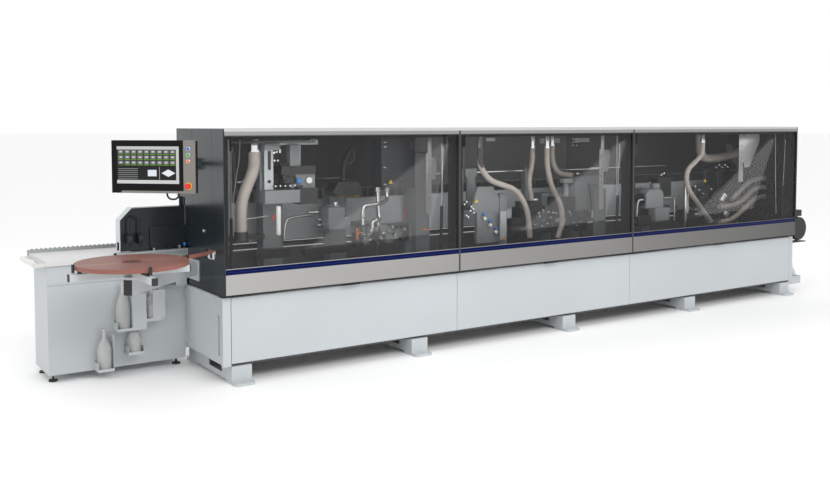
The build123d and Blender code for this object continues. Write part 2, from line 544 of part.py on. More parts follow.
# ---- pressure beam and its guard at the infeed ---------------------------------------------------
BEAM_BACK_Y = 928
BEAM_Z = (985, 1322)
GUARD_X = (-685, LEFT_X - 2)
GUARD_TOP = 1329
GUARD_BEVEL = 94
GUARD_Y = (829, 931)
with BuildPart() as pressure_beam:
    block((-588, DRIVE_X + 60), (BEAM_FRONT_Y, BEAM_BACK_Y), BEAM_Z)
    block((-582, DRIVE_X + 61), (BEAM_FRONT_Y + 12, BEAM_BACK_Y - 12), (BEAM_Z[0] + 12, BEAM_Z[1] - 12),
          Mode.SUBTRACT)
    for groove_z in (1052, 1110, 1215, 1268):
        block((-140, DRIVE_X + 61), (BEAM_FRONT_Y - 1, BEAM_FRONT_Y + 6), (groove_z, groove_z + 8),
              Mode.SUBTRACT)
    plate_xz(((GUARD_X[0] - 3, BEAM_Z[0]), (GUARD_X[0] - 3, GUARD_TOP - GUARD_BEVEL + 1),
              (GUARD_X[0] + GUARD_BEVEL - 1, GUARD_TOP + 3), (GUARD_X[0] + GUARD_BEVEL + 20, GUARD_TOP + 3),
              (GUARD_X[0] + GUARD_BEVEL + 20, GUARD_TOP), (GUARD_X[0] + GUARD_BEVEL, GUARD_TOP),
              (GUARD_X[0], GUARD_TOP - GUARD_BEVEL), (GUARD_X[0], BEAM_Z[0])),
             (GUARD_Y[0] - 3, GUARD_Y[1] + 3))
    block((GUARD_X[0] - 4, GUARD_X[0] + 1), (850, 910), (BEAM_Z[0] - 1, BEAM_Z[0] + 72), Mode.SUBTRACT)

guard_outline = ((GUARD_X[0], BEAM_Z[0]), (GUARD_X[0], GUARD_TOP - GUARD_BEVEL),
                 (GUARD_X[0] + GUARD_BEVEL, GUARD_TOP), (GUARD_X[1], GUARD_TOP), (GUARD_X[1], BEAM_Z[0]))
with BuildPart() as beam_guard:
    plate_xz(guard_outline, GUARD_Y)
    plate_xz(((GUARD_X[0] + 3, BEAM_Z[0] - 1), (GUARD_X[0] + 3, GUARD_TOP - GUARD_BEVEL - 1),
              (GUARD_X[0] + GUARD_BEVEL + 1, GUARD_TOP - 3), (GUARD_X[1] + 1, GUARD_TOP - 3),
              (GUARD_X[1] + 1, BEAM_Z[0] - 1)), (GUARD_Y[0] + 3, GUARD_Y[1] - 3), Mode.SUBTRACT)
    block((GUARD_X[0] - 1, GUARD_X[0] + 4), (850, 910), (BEAM_Z[0] - 1, BEAM_Z[0] + 72), Mode.SUBTRACT)
    block((-450, GUARD_X[1]), (GUARD_Y[0] - 14, GUARD_Y[0]), (BEAM_Z[0], 1171))
    block((-680, -450), (GUARD_Y[0] - 6, GUARD_Y[0]), (BEAM_Z[0] + 4, BEAM_Z[0] + 30))

BELT_R = 15
with BuildPart() as pressure_belt:
    loop_xz((-570, DRIVE_X + 30), BEAM_Z[0] - BELT_R, BELT_R, 8, (850, 910))

HOOK_X = -584
HOOK_Z = 1250
BAND_R = 42
CUP_Z = 1085
EAR_Y = GUARD_Y[0] - 44
with BuildPart() as ear_defenders:
    tube_along(((HOOK_X - BAND_R, EAR_Y, CUP_Z), (HOOK_X - BAND_R, EAR_Y, HOOK_Z + 11),
                (HOOK_X + BAND_R, EAR_Y, HOOK_Z + 11), (HOOK_X + BAND_R, EAR_Y, CUP_Z)), 6, BAND_R - 2)
    for cup_x in (HOOK_X - BAND_R, HOOK_X + BAND_R):
        rod(40, (cup_x - 17, EAR_Y, CUP_Z), (cup_x + 17, EAR_Y, CUP_Z))
    rod(5, (HOOK_X, EAR_Y - 8, HOOK_Z), (HOOK_X, GUARD_Y[0], HOOK_Z))

# ---- edging coil and its tray --------------------------------------------------------------------
COIL_X = -840
COIL_Y = 20
COIL_TOP = 1020
COIL_Z = (COIL_TOP - COIL_WIDTH, COIL_TOP)
COIL_HOLE_R = 70
ARM_Z = (915, 964)
ARM_W = 40
ARM_X = (COIL_X - 438, COIL_X + 420)
ARM_Y = (COIL_Y - 490, COIL_Y + 440)
PEG_R = COIL_R + 15
BOOM_Z = (785, 897)
BOOM_W = 60
BOOM_TURN = 41
BOOM_BACK = 55
BOOM_RUN = 1050

with BuildPart() as edging_coil:
    rod(COIL_R, (COIL_X, COIL_Y, COIL_Z[0]), (COIL_X, COIL_Y, COIL_Z[1]))
    rod(COIL_HOLE_R, (COIL_X, COIL_Y, COIL_Z[0] - 1), (COIL_X, COIL_Y, COIL_Z[1] + 1), Mode.SUBTRACT)

peg_places = [(COIL_X + PEG_R * dx, COIL_Y + PEG_R * dy) for dx, dy in ((-1, 0), (1, 0), (0, -1), (0, 1))]
boom_dir = Vector(1, 0, 0).rotate(Axis.Z, BOOM_TURN)
with BuildPart() as coil_stand:
    with BuildSketch(Plane(origin=(COIL_X, COIL_Y, BOOM_Z[0]), x_dir=boom_dir, z_dir=(0, 0, 1))):
        with Locations((BOOM_RUN / 2 - BOOM_BACK, 0)):
            Rectangle(BOOM_RUN, BOOM_W)
    extrude(amount=BOOM_Z[1] - BOOM_Z[0])
    block((LEFT_X, LEFT_X + 400), (0, 1400), (BOOM_Z[0] - 1, BOOM_Z[1] + 1), Mode.SUBTRACT)
    block((LEFT_X - 12, LEFT_X), (520, 745), (BOOM_Z[0] - 40, BOOM_Z[1] + 12))
    block(ARM_X, (COIL_Y - ARM_W / 2, COIL_Y + ARM_W / 2), ARM_Z)
    block((COIL_X - ARM_W / 2, COIL_X + ARM_W / 2), ARM_Y, ARM_Z)
    rod(72, (COIL_X, COIL_Y, BOOM_Z[1]), (COIL_X, COIL_Y, ARM_Z[0]))
    rod(COIL_HOLE_R - 8, (COIL_X, COIL_Y, ARM_Z[1]), (COIL_X, COIL_Y, COIL_TOP - 8))
    for peg_x, peg_y in peg_places:
        rod(6, (peg_x, peg_y, ARM_Z[0] + 10), (peg_x, peg_y, ARM_Z[1] + 10))
        block((peg_x - 9, peg_x + 9), (peg_y - 9, peg_y + 9), (ARM_Z[0] - 6, ARM_Z[0] + 8))

boom_plane = Plane(origin=(COIL_X, COIL_Y, (BOOM_Z[0] + BOOM_Z[1]) / 2), x_dir=boom_dir, z_dir=(0, 0, 1))
with BuildPart() as black_caps:
    with Locations(boom_plane):
        with Locations((-BOOM_BACK - 5, 0, 0)):
            Box(10, BOOM_W + 2, BOOM_Z[1] - BOOM_Z[0])
    mid_y = (COIL_Y - ARM_W / 2 - 1, COIL_Y + ARM_W / 2 + 1)
    mid_x = (COIL_X - ARM_W / 2 - 1, COIL_X + ARM_W / 2 + 1)
    cap_z = (ARM_Z[0] - 1, ARM_Z[1] + 1)
    block((ARM_X[0] - 8, ARM_X[0]), mid_y, cap_z)
    block((ARM_X[1], ARM_X[1] + 8), mid_y, cap_z)
    block(mid_x, (ARM_Y[0] - 8, ARM_Y[0]), cap_z)
    block(mid_x, (ARM_Y[1], ARM_Y[1] + 8), cap_z)
    for peg_x, peg_y in peg_places:
        rod(11, (peg_x, peg_y, ARM_Z[1] + 10), (peg_x, peg_y, COIL_TOP + 12))
    for reach in (250, 365):
        for dx, dy in ((-1, 0), (1, 0), (0, -1), (0, 1)):
            middle = (COIL_X + reach * dx, COIL_Y + reach * dy)
            half = (14 if dx else 17, 14 if dy else 17)
            block((middle[0] - half[0], middle[0] + half[0]), (middle[1] - half[1], middle[1] + half[1]),
                  (ARM_Z[1], COIL_Z[0] - CLEAR))

BAND_T = 1.2
BAND_START = (COIL_X + COIL_R + 1.5, COIL_Y)
BAND_LEAD = (LEFT_X - 180, 145)
BAND_IN = (LEFT_X + 40, 292)
with BuildPart() as edging_band:
    band_z = (COIL_Z[0] + COIL_Z[1]) / 2
    with BuildLine() as band_route:
        Spline((*BAND_START, band_z), (*BAND_LEAD, band_z), (*BAND_IN, band_z),
               tangents=((0, 1, 0), (0.84, 0.54, 0)))
    with BuildSketch(Plane(origin=band_route.line @ 0, x_dir=(0, 0, 1), z_dir=band_route.line % 0)) as strip:
        Rectangle(COIL_WIDTH - 2, BAND_T)
    sweep(sections=strip.sketch, path=band_route.line)

# ---- operator's panel ----------------------------------------------------------------------------
PANEL_X = -567
PANEL_Y = 319
PANEL_MID_Z = ARM_HEIGHT
PANEL_FACING = Vector(-0.698, -0.7161, 0)
PANEL_RIGHT = Vector(0.7161, -0.698, 0)
SHELL_N = (-24, 12)
FACE_N = 24
STRIP_U = 242
LIP_H = 18
HEAD_BACK = 100
panel_plane = Plane(origin=(PANEL_X, PANEL_Y, PANEL_MID_Z), x_dir=PANEL_RIGHT, z_dir=PANEL_FACING)
head_point = panel_plane.from_local_coords((0, 0, -HEAD_BACK))
head_place = (head_point.X, head_point.Y, PANEL_MID_Z)


def at_depth(n):
    """The panel's own plane, moved along its normal."""
    return panel_plane.offset(n)


with BuildPart() as panel_shell:
    with BuildSketch(at_depth(SHELL_N[0])):
        RectangleRounded(PANEL_W, PANEL_H, 8)
    extrude(amount=SHELL_N[1] - SHELL_N[0])
    with BuildSketch(at_depth(-70)):
        Rectangle(56, 92)
    extrude(amount=70 + SHELL_N[0])
    with BuildSketch(at_depth(-HEAD_BACK - 26)):
        with Locations((0, -FORK_MID), (0, FORK_MID)):
            Rectangle(56, 14)
    extrude(amount=70)
    rod(SWIVEL_R, (head_place[0], head_place[1], PANEL_MID_Z - FORK_MID),
        (head_place[0], head_place[1], PANEL_MID_Z + FORK_MID))

half_w = PANEL_W / 2
half_h = PANEL_H / 2
strip_left = -half_w + 578
lip_left = -half_w + 84
lip_points = ((strip_left, half_h), (half_w, half_h), (half_w, -half_h), (lip_left - 14, -half_h),
              (lip_left, -half_h + LIP_H), (strip_left, -half_h + LIP_H))
face_points = ((-half_w, half_h), (strip_left, half_h), (strip_left, -half_h + LIP_H),
               (lip_left, -half_h + LIP_H), (lip_left - 14, -half_h), (-half_w, -half_h))
BUTTON_U = -half_w + 617
BUTTON_V = [half_h - down for down in (63, 110, 158)]
ESTOP_V = half_h - 342
BUTTON_R = 11
BUTTON_GAP = 0.35

with BuildPart() as panel_face:
    with BuildSketch(at_depth(SHELL_N[1])):
        with BuildLine():
            Polyline(*face_points, close=True)
        make_face()
    extrude(amount=FACE_N - SHELL_N[1])

with BuildPart() as panel_trim:
    with BuildSketch(at_depth(SHELL_N[1])):
        with BuildLine():
            Polyline(*lip_points, close=True)
        make_face()
        with Locations(*[(BUTTON_U, v) for v in BUTTON_V]):
            Circle(BUTTON_R + BUTTON_GAP, mode=Mode.SUBTRACT)
        with Locations((BUTTON_U, ESTOP_V)):
            Circle(8 + BUTTON_GAP, mode=Mode.SUBTRACT)
    extrude(amount=FACE_N - SHELL_N[1])


def push_button(v):
    """A round button whose skirt runs in the trim's hole."""
    with BuildSketch(at_depth(SHELL_N[1] + 5)) as top:
        with Locations((BUTTON_U, v)):
            Circle(BUTTON_R)
    extrude(top.sketch, amount=15)


with BuildPart() as button_blue:
    push_button(BUTTON_V[0])
with BuildPart() as button_green:
    push_button(BUTTON_V[1])
with BuildPart() as button_orange:
    push_button(BUTTON_V[2])
with BuildPart() as estop_button:
    with BuildSketch(at_depth(SHELL_N[1] + 6)):
        with Locations((BUTTON_U, ESTOP_V)):
            Circle(8)
    extrude(amount=16)
    with BuildSketch(at_depth(FACE_N + 7)):
        with Locations((BUTTON_U, ESTOP_V)):
            Circle(20.5)
    extrude(amount=15)

with BuildPart() as panel_arm:
    rod(18, head_place, ARM_ROOT)
    for end in (head_place, ARM_ROOT):
        rod(BARREL_R, (end[0], end[1], PANEL_MID_Z - BARREL_H), (end[0], end[1], PANEL_MID_Z + BARREL_H))
        rod(SWIVEL_R + FIT, (end[0], end[1], PANEL_MID_Z - 50), (end[0], end[1], PANEL_MID_Z + 50),
            Mode.SUBTRACT)

CABLE_R = 7
cable_ends = [panel_plane.from_local_coords((u, -half_h + 2, -6)) for u in (96, 190)]
with BuildPart() as panel_cable:
    low_z = PANEL_MID_Z - half_h - 46
    tube_along(((cable_ends[0].X, cable_ends[0].Y, PANEL_MID_Z - half_h),
                (cable_ends[0].X, cable_ends[0].Y, low_z), (cable_ends[1].X, cable_ends[1].Y, low_z),
                (cable_ends[1].X, cable_ends[1].Y, PANEL_MID_Z - half_h)), CABLE_R, 40)

# ---- bottles in holders --------------------------------------------------------------------------
BOTTLE_R = 56
BOTTLE_GAP = 3
BOTTLE_PLACES = ((-835, 60), (-684, 362), (-598, 165), (-452, 420))
FACE_Y = CABINET_Y[0]
RIGHT_BOTTLE = (BASE_RIGHT_X + 139, 150)
RIGHT_FLOOR = 96


def bottle(x, y, z, radius, height):
    """A spray bottle: body, shoulder and neck turned about its axis."""
    with BuildSketch(Plane(origin=(x, y, z), x_dir=(1, 0, 0), z_dir=(0, -1, 0))) as half:
        with BuildLine():
            Polyline((0, 0), (radius, 0), (radius, height * 0.5), (radius * 0.72, height * 0.66),
                     (radius * 0.3, height * 0.78), (radius * 0.26, height), (0, height), close=True)
        make_face()
    revolve(half.sketch, axis=Axis((x, y, z), (0, 0, 1)))


def bottle_shell(x, z, height):
    """Sheet holder on the cabinet's front: floor, two sides and an apron across the right half."""
    reach = 2 * (BOTTLE_R + BOTTLE_GAP)
    wall = (FACE_Y - reach - 4, FACE_Y)
    edge = BOTTLE_R + BOTTLE_GAP
    block((x - edge - 3, x + edge + 3), wall, (z, z + 4))
    block((x - edge - 3, x - edge), wall, (z, z + 70))
    block((x + edge, x + edge + 3), wall, (z, z + height))
    block((x - edge, x + edge), (wall[0], wall[0] + 3), (z, z + 24))
    block((x - edge, x + edge), (FACE_Y - 3, FACE_Y), (z, z + 90))


with BuildPart() as bottle_holders:
    for (bottle_x, bottle_z), shell_h in zip(BOTTLE_PLACES, (290, 300, 60, 248)):
        bottle_shell(bottle_x, bottle_z, shell_h)
    block((-623, -514), (FACE_Y - 122, FACE_Y - 119), (362, 652))
    block((-462, -360), (FACE_Y - 122, FACE_Y - 119), (444, 668))
    holder_y = (RIGHT_BOTTLE[1] - 60, RIGHT_BOTTLE[1] + 60)
    holder_right = RIGHT_BOTTLE[0] + 92
    block((BASE_RIGHT_X, holder_right), holder_y, (RIGHT_FLOOR, RIGHT_FLOOR + 4))
    block((BASE_RIGHT_X, BASE_RIGHT_X + 4), holder_y, (RIGHT_FLOOR, 200))
    block((holder_right - 3, holder_right), holder_y, (RIGHT_FLOOR, 186))
    block((BASE_RIGHT_X, holder_right), (holder_y[0], holder_y[0] + 3), (RIGHT_FLOOR, 186))

with BuildPart() as bottles:
    for (bottle_x, bottle_z), bottle_h in zip(BOTTLE_PLACES, (330, 380, 250, 250)):
        bottle(bottle_x, FACE_Y - BOTTLE_R - BOTTLE_GAP - 3, bottle_z + 4, BOTTLE_R - 1, bottle_h)
    bottle(RIGHT_BOTTLE[0] - 4, RIGHT_BOTTLE[1], RIGHT_FLOOR + 4, 48, 235)

# ---- machining units inside the hood -------------------------------------------------------------
PREMILL_X = 590
GLUE_X = 1640
END_TRIM_X = 2650
TRIM_X = 3130
CORNER_X = 3750
SCRAPER_X = 4990
BUFFER_X = 6280
UNIT_Y = 350
PILLAR_Y = (590, 720)
TRIM_ROD_Y = 640
TRIM_ROD_Z = 1529
TRIM_ROD_X = (END_TRIM_X - 130, END_TRIM_X + 704)
GLUE_ROLLER_X = GLUE_X - 160
GLUE_ROLLER_Y = 785
BUFFER_WHEEL = (BUFFER_X - 20, 786)
BUFFER_WHEEL_Z = (912, 975)


def pillar(x, top, half=55):
    """A box-section pillar that stands on the bed."""
    block((x - half, x + half), PILLAR_Y, (BASE_TOP, top))


with BuildPart() as unit_plates:
    # edge preparation unit
    pillar(PREMILL_X - 60, 1457, 90)
    block((PREMILL_X - 239, PREMILL_X + 75), (UNIT_Y, PILLAR_Y[0]), (1351, 1457))
    block((PREMILL_X - 248, PREMILL_X - 164), (430, 510), (1457, 1788))
    block((PREMILL_X - 226, PREMILL_X - 186), (429, 442), (1520, 1740), Mode.SUBTRACT)
    block((PREMILL_X - 246, PREMILL_X - 114), (330, 510), (1788, 1844))
    block((INNER_L, PREMILL_X + 217), (340, 362), (1844, 1864))
    block((PREMILL_X + 190, PREMILL_X + 210), (340, 362), (1864, HOOD_TOP - ROOF_SKIN))
    block((PREMILL_X + 17, PREMILL_X + 242), (400, 540), (1466, 1582))
    block((PREMILL_X + 11, PREMILL_X + 103), (400, 470), (1652, 1825))
    block((PREMILL_X + 75, PREMILL_X + 135), (540, PILLAR_Y[0]), (1380, 1457))
    # dust hood pillar and control box
    pillar(PREMILL_X + 570, 1420, 80)
    block((PREMILL_X + 344, PREMILL_X + 503), (UNIT_Y, 520), (1105, 1289))
    block((PREMILL_X + 400, PREMILL_X + 450), (520, 560), (1150, 1250))
    block((PREMILL_X + 400, PREMILL_X + 510), (560, PILLAR_Y[0] + 40), (1150, 1250))
    # glue station plates
    block((GLUE_X + 174, GLUE_X + 318), (330, 520), (BASE_TOP, 1745))
    block((GLUE_X - 19, GLUE_X + 172), (400, 520), (997, 1098))
    block((GLUE_X + 100, GLUE_X + 174), (400, 520), (BASE_TOP, 997))
    block((GLUE_ROLLER_X - 60, GLUE_ROLLER_X + 60), (520, 820), (1080, 1110))
    block((GLUE_ROLLER_X - 60, GLUE_X + 174), (480, 520), (1098, 1110))
    rod(12 + FIT, (GLUE_ROLLER_X, GLUE_ROLLER_Y, 1079), (GLUE_ROLLER_X, GLUE_ROLLER_Y, 1111), Mode.SUBTRACT)
    # end trimming unit
    block((END_TRIM_X + 143, END_TRIM_X + 229), (UNIT_Y, 560), (BASE_TOP, 1328))
    block((END_TRIM_X - 134, END_TRIM_X + 143), (UNIT_Y, UNIT_Y + 40), (874, 1166))
    plate_xz(((END_TRIM_X - 195, 1200), (END_TRIM_X - 120, 1407), (END_TRIM_X + 60, 1407),
              (END_TRIM_X + 143, 1290), (END_TRIM_X + 143, 1166), (END_TRIM_X - 134, 1166)),
             (UNIT_Y + 10, UNIT_Y + 40))
    for end_x in (TRIM_ROD_X[0], TRIM_ROD_X[1] - 30):
        block((end_x, end_x + 30), (TRIM_ROD_Y - 30, TRIM_ROD_Y + 30), (BASE_TOP, TRIM_ROD_Z + 30))
        rod(15 + FIT, (end_x - 1, TRIM_ROD_Y, TRIM_ROD_Z), (end_x + 31, TRIM_ROD_Y, TRIM_ROD_Z),
            Mode.SUBTRACT)
    # trimming and corner units
    pillar(CORNER_X - 152, 1295, 60)
    block((CORNER_X - 256, CORNER_X - 48), (550, PILLAR_Y[0]), (1071, 1295))
    pillar(CORNER_X + 245, 1462, 60)
    block((CORNER_X + 65, CORNER_X + 426), (400, PILLAR_Y[0]), (1106, 1462))
    for rib in range(9):
        low = CORNER_X + 238 + rib * 17
        block((low, low + 8), (392, 400), (1116, 1381))
    block((CORNER_X + 240, CORNER_X + 402), (300, 318), (859, 1334))
    block((CORNER_X + 280, CORNER_X + 360), (318, 400), (1130, 1300))
    # scraping and buffing units
    pillar(SCRAPER_X + 80, 1284, 60)
    block((SCRAPER_X + 155, SCRAPER_X + 373), (400, PILLAR_Y[0]), (1165, 1195))
    block((SCRAPER_X + 80, SCRAPER_X + 155), (PILLAR_Y[0], PILLAR_Y[1]), (1100, 1250))
    pillar(BUFFER_X, 1456, 70)

with BuildPart() as glue_unit:
    block((GLUE_X - 179, GLUE_X + 174), (UNIT_Y, 520), (1439, 1898))
    fillet(glue_unit.edges().filter_by(Axis.Y), 14)

with BuildPart() as unit_motors:
    block((PREMILL_X + 75, PREMILL_X + 242), (UNIT_Y, 540), (1333, 1466))
    block((PREMILL_X - 76, PREMILL_X + 238), (380, 540), (1582, 1652))
    plate_xz(((PREMILL_X + 434, 1420), (PREMILL_X + 484, 1498), (PREMILL_X + 690, 1498),
              (PREMILL_X + 722, 1420), (PREMILL_X + 690, 1377), (PREMILL_X + 470, 1377)), (430, PILLAR_Y[0]))
    rod(58, (PREMILL_X - 422, 420, 1060), (PREMILL_X - 422, 420, 1132))
    block((PREMILL_X - 480, PREMILL_X - 364), (400, 620), (1040, 1080))
    block((PREMILL_X - 364, PREMILL_X - 150), (560, 620), (1040, 1080))
    rod(56, (TRIM_X - 242 + 56, 420, 958), (TRIM_X + 89, 420, 958))
    block((TRIM_X - 251, TRIM_X - 186), (400, 560), (900, 1010))
    rod(70, (TRIM_X - 9 + 70, 500, 1043), (TRIM_X + 61, 500, 1233))
    block((TRIM_X - 60, TRIM_X + 180), (560, PILLAR_Y[0] + 60), (BASE_TOP, 1080))
    block((TRIM_X + 120, TRIM_X + 222), (430, 560), (1043, 1200))
    block((CORNER_X - 177, CORNER_X + 65), (400, 550), (975, 1262))
    rod(48, (CORNER_X + 65, 475, 1040), (CORNER_X + 192, 475, 1040))
    rod(72, (SCRAPER_X - 196, 430, 1182), (SCRAPER_X + 98, 430, 1182))
    block((SCRAPER_X - 47, SCRAPER_X + 199), (360, 560), (942, 1110))
    block((SCRAPER_X + 20, SCRAPER_X + 140), (502, PILLAR_Y[0]), (1110, 1250))
    block((BUFFER_X - 212, BUFFER_X + 225), (430, PILLAR_Y[0]), (1180, 1456))
    rod(70, (BUFFER_X - 130, 500, 1072), (BUFFER_X - 130, 500, 1180))
    rod(70, (BUFFER_X + 130, 500, 1072), (BUFFER_X + 130, 500, 1180))
    rod(22, (*BUFFER_WHEEL, 1000), (*BUFFER_WHEEL, 1100))
    block((BUFFER_WHEEL[0] - 40, BUFFER_WHEEL[0] + 40), (PILLAR_Y[1], 800), (1030, 1080))
    rod(12 + FIT, (*BUFFER_WHEEL, 999), (*BUFFER_WHEEL, 1101), Mode.SUBTRACT)

with BuildPart() as buffing_wheel:
    rod(62, (*BUFFER_WHEEL, BUFFER_WHEEL_Z[0]), (*BUFFER_WHEEL, BUFFER_WHEEL_Z[1]))
    rod(12, (*BUFFER_WHEEL, BUFFER_WHEEL_Z[1]), (*BUFFER_WHEEL, 1112))

with BuildPart() as glue_roller:
    rod(36, (GLUE_ROLLER_X, GLUE_ROLLER_Y, 957), (GLUE_ROLLER_X, GLUE_ROLLER_Y, 1060))
    rod(12, (GLUE_ROLLER_X, GLUE_ROLLER_Y, 1060), (GLUE_ROLLER_X, GLUE_ROLLER_Y, 1122))

with BuildPart() as end_trim_saws:
    saw_x = (TRIM_ROD_X[0] + 45, TRIM_ROD_X[0] + 185)
    block(saw_x, (TRIM_ROD_Y - 40, TRIM_ROD_Y + 40), (TRIM_ROD_Z - 40, TRIM_ROD_Z + 40))
    block((saw_x[0] + 20, saw_x[1] - 20), (TRIM_ROD_Y - 40, TRIM_ROD_Y - 20), (1180, TRIM_ROD_Z - 40))
    rod(46, (saw_x[0] + 12, TRIM_ROD_Y - 10, 1210), (saw_x[1] - 12, TRIM_ROD_Y - 10, 1210))
    rod(15 + FIT, (saw_x[0] - 1, TRIM_ROD_Y, TRIM_ROD_Z), (saw_x[1] + 1, TRIM_ROD_Y, TRIM_ROD_Z),
        Mode.SUBTRACT)

# ---- dust hoses and steel fittings ---------------------------------------------------------------
BIG_HOSE_R = 48


def bend_radii(points):
    """Radii that use 45 percent of the shorter run beside each corner."""
    radii = []
    for before, corner, after in zip(points, points[1:], points[2:]):
        first = Vector(*corner) - Vector(*before)
        second = Vector(*after) - Vector(*corner)
        half_turn = math.radians(first.get_angle(second)) / 2
        radii.append(0.45 * min(first.length, second.length) / math.tan(half_turn))
    return radii


def hose_points(y, *places):
    """Route of a hose that stays at one depth."""
    return [(x, y, z) for x, z in places]


ROUTES = {
    "preparation": (BIG_HOSE_R, hose_points(420, (290, 1775), (290, 1640), (168, 1380), (168, 1132))),
    "end trim": (HOSE_R, hose_points(262, (2480, 1775), (2480, 1600), (2600, 1470), (2930, 1370),
                                     (3060, 1180), (3095, 900))),
    "trim left": (HOSE_R, hose_points(470, (3300, 1760), (3300, 1620), (3250, 1440), (3290, 1236))),
    "trim right": (HOSE_R, hose_points(340, (3375, 1760), (3375, 1600), (3430, 1390), (3570, 1190),
                                       (3590, 1000), (3520, 860))),
    "corner": (HOSE_R, hose_points(470, (3560, 1780), (3560, 1620), (3640, 1500), (3815, 1476))),
    "scraper": (HOSE_R, hose_points(262, (5600, 1790), (5600, 1660), (5330, 1480), (5360, 1290),
                                    (5760, 900))),
    "buffer": (BIG_HOSE_R, hose_points(520, (5870, 1905), (5870, 1600), (6200, 1600), (6620, 1670))),
}
SIDE_PORT_X = INNER_R - 46
SIDE_PORT_Y = 400
SIDE_STUB_X = SIDE_PORT_X - 57
SIDE_ROUTES = {
    "side high": [(SIDE_PORT_X, SIDE_PORT_Y, 1346), (SIDE_STUB_X, SIDE_PORT_Y, 1346),
                  (6650, 400, 1330), (6457, 400, 1226), (6300, 400, 1118)],
    "side middle": [(SIDE_PORT_X, SIDE_PORT_Y, 1239), (SIDE_STUB_X, SIDE_PORT_Y, 1239),
                    (6640, 370, 1219), (6395, 340, 1087), (6154, 330, 1051), (5990, 330, 1055)],
    "side low": [(SIDE_PORT_X, SIDE_PORT_Y, 1129), (SIDE_STUB_X, SIDE_PORT_Y, 1129),
                 (6600, 340, 1104), (6332, 270, 999), (6094, 250, 903), (5900, 250, 886)],
}
with BuildPart() as dust_hoses:
    for route_name, (hose_radius, route_points) in ROUTES.items():
        radii = bend_radii(route_points)
        print("hose", route_name, "bend radii", [round(value) for value in radii])
        tube_along(route_points, hose_radius, radii)
    for route_name, route_points in SIDE_ROUTES.items():
        radii = bend_radii(route_points)
        print("hose", route_name, "bend radii", [round(value) for value in radii])
        tube_along(route_points, HOSE_R, radii)

CLAMP_T = 3
with BuildPart() as steel_fittings:
    for hose_radius, route_points in ROUTES.values():
        hose_x, hose_y, hose_top = route_points[0]
        rod(hose_radius - CLAMP_T, (hose_x, hose_y, hose_top), (hose_x, hose_y, HOOD_TOP - ROOF_SKIN))
        rod(hose_radius + CLAMP_T, (hose_x, hose_y, hose_top), (hose_x, hose_y, hose_top + 16))
    for route_points in SIDE_ROUTES.values():
        port_z = route_points[0][2]
        rod(HOSE_R - CLAMP_T, (SIDE_PORT_X, SIDE_PORT_Y, port_z), (INNER_R, SIDE_PORT_Y, port_z))
        rod(HOSE_R + CLAMP_T, (SIDE_PORT_X, SIDE_PORT_Y, port_z),
            (SIDE_PORT_X + 16, SIDE_PORT_Y, port_z))
    rod(15, (TRIM_ROD_X[0] - 10, TRIM_ROD_Y, TRIM_ROD_Z), (TRIM_ROD_X[1] + 10, TRIM_ROD_Y, TRIM_ROD_Z))
    rod(17, (GLUE_X - 198, 380, BASE_TOP), (GLUE_X - 198, 380, 1445))
    rod(20, (SCRAPER_X + 409, 320, BASE_TOP), (SCRAPER_X + 409, 320, 1351))

# ---- files ---------------------------------------------------------------------------------------
parts = {
    "feet": feet,
    "machine_bed": machine_bed,
    "feed_chain": feed_chain,
    "drive_sprocket": drive_sprocket,
    "idler_sprocket": idler_sprocket,
    "outfeed_drum": outfeed_drum,
    "base_panels": base_panels,
    "base_end_covers": base_end_covers,
    "base_side_door": base_side_door,
    "hood_left_side": hood_left_side,
    "hood_right_side": hood_right_side,
    "hood_roof": hood_roof,
    "hood_back": hood_back,
    "hood_frame": hood_frame,
    "bracket_strips": bracket_strips,
    "door_left_frame": door_left_frame,
    "door_left_glass": door_left_glass,
    "door_middle_frame": door_middle_frame,
    "door_middle_glass": door_middle_glass,
    "door_right_frame": door_right_frame,
    "door_right_glass": door_right_glass,
    "strut_tubes_left": strut_tubes_left,
    "strut_tubes_middle": strut_tubes_middle,
    "strut_tubes_right": strut_tubes_right,
    "strut_rods_left": strut_rods_left,
    "strut_rods_middle": strut_rods_middle,
    "strut_rods_right": strut_rods_right,
    "infeed_cabinet": infeed_cabinet,
    "levelling_feet": levelling_feet,
    "infeed_table": infeed_table,
    "infeed_fence": infeed_fence,
    "end_roller": end_roller,
    "guide_rail": guide_rail,
    "pressure_beam": pressure_beam,
    "beam_guard": beam_guard,
    "pressure_belt": pressure_belt,
    "ear_defenders": ear_defenders,
    "edging_coil": edging_coil,
    "coil_stand": coil_stand,
    "black_caps": black_caps,
    "edging_band": edging_band,
    "panel_arm": panel_arm,
    "panel_shell": panel_shell,
    "panel_face": panel_face,
    "panel_trim": panel_trim,
    "panel_cable": panel_cable,
    "button_blue": button_blue,
    "button_green": button_green,
    "button_orange": button_orange,
    "estop_button": estop_button,
    "bottle_holders": bottle_holders,
    "bottles": bottles,
    "unit_plates": unit_plates,
    "unit_motors": unit_motors,
    "glue_unit": glue_unit,
    "glue_roller": glue_roller,
    "buffing_wheel": buffing_wheel,
    "end_trim_saws": end_trim_saws,
    "dust_hoses": dust_hoses,
    "steel_fittings": steel_fittings,
}
os.makedirs("parts", exist_ok=True)
for name, builder in parts.items():
    builder.part.label = name
    export_step(builder.part, f"parts/{name}.step")
print(len(parts), "pieces written")
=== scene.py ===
# %% [markdown]
# An edge banding machine glues a plastic strip to the edge of a board that travels past a row of
# cutting, gluing and polishing units. A long hood with glazed doors covers the units.
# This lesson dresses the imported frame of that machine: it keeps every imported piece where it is,
# gives each one a procedural finish, and adds the small pieces that make it look like the real thing.

# %% Load the frame
import math

import bpy
import bmesh
from mathutils import Matrix, Vector


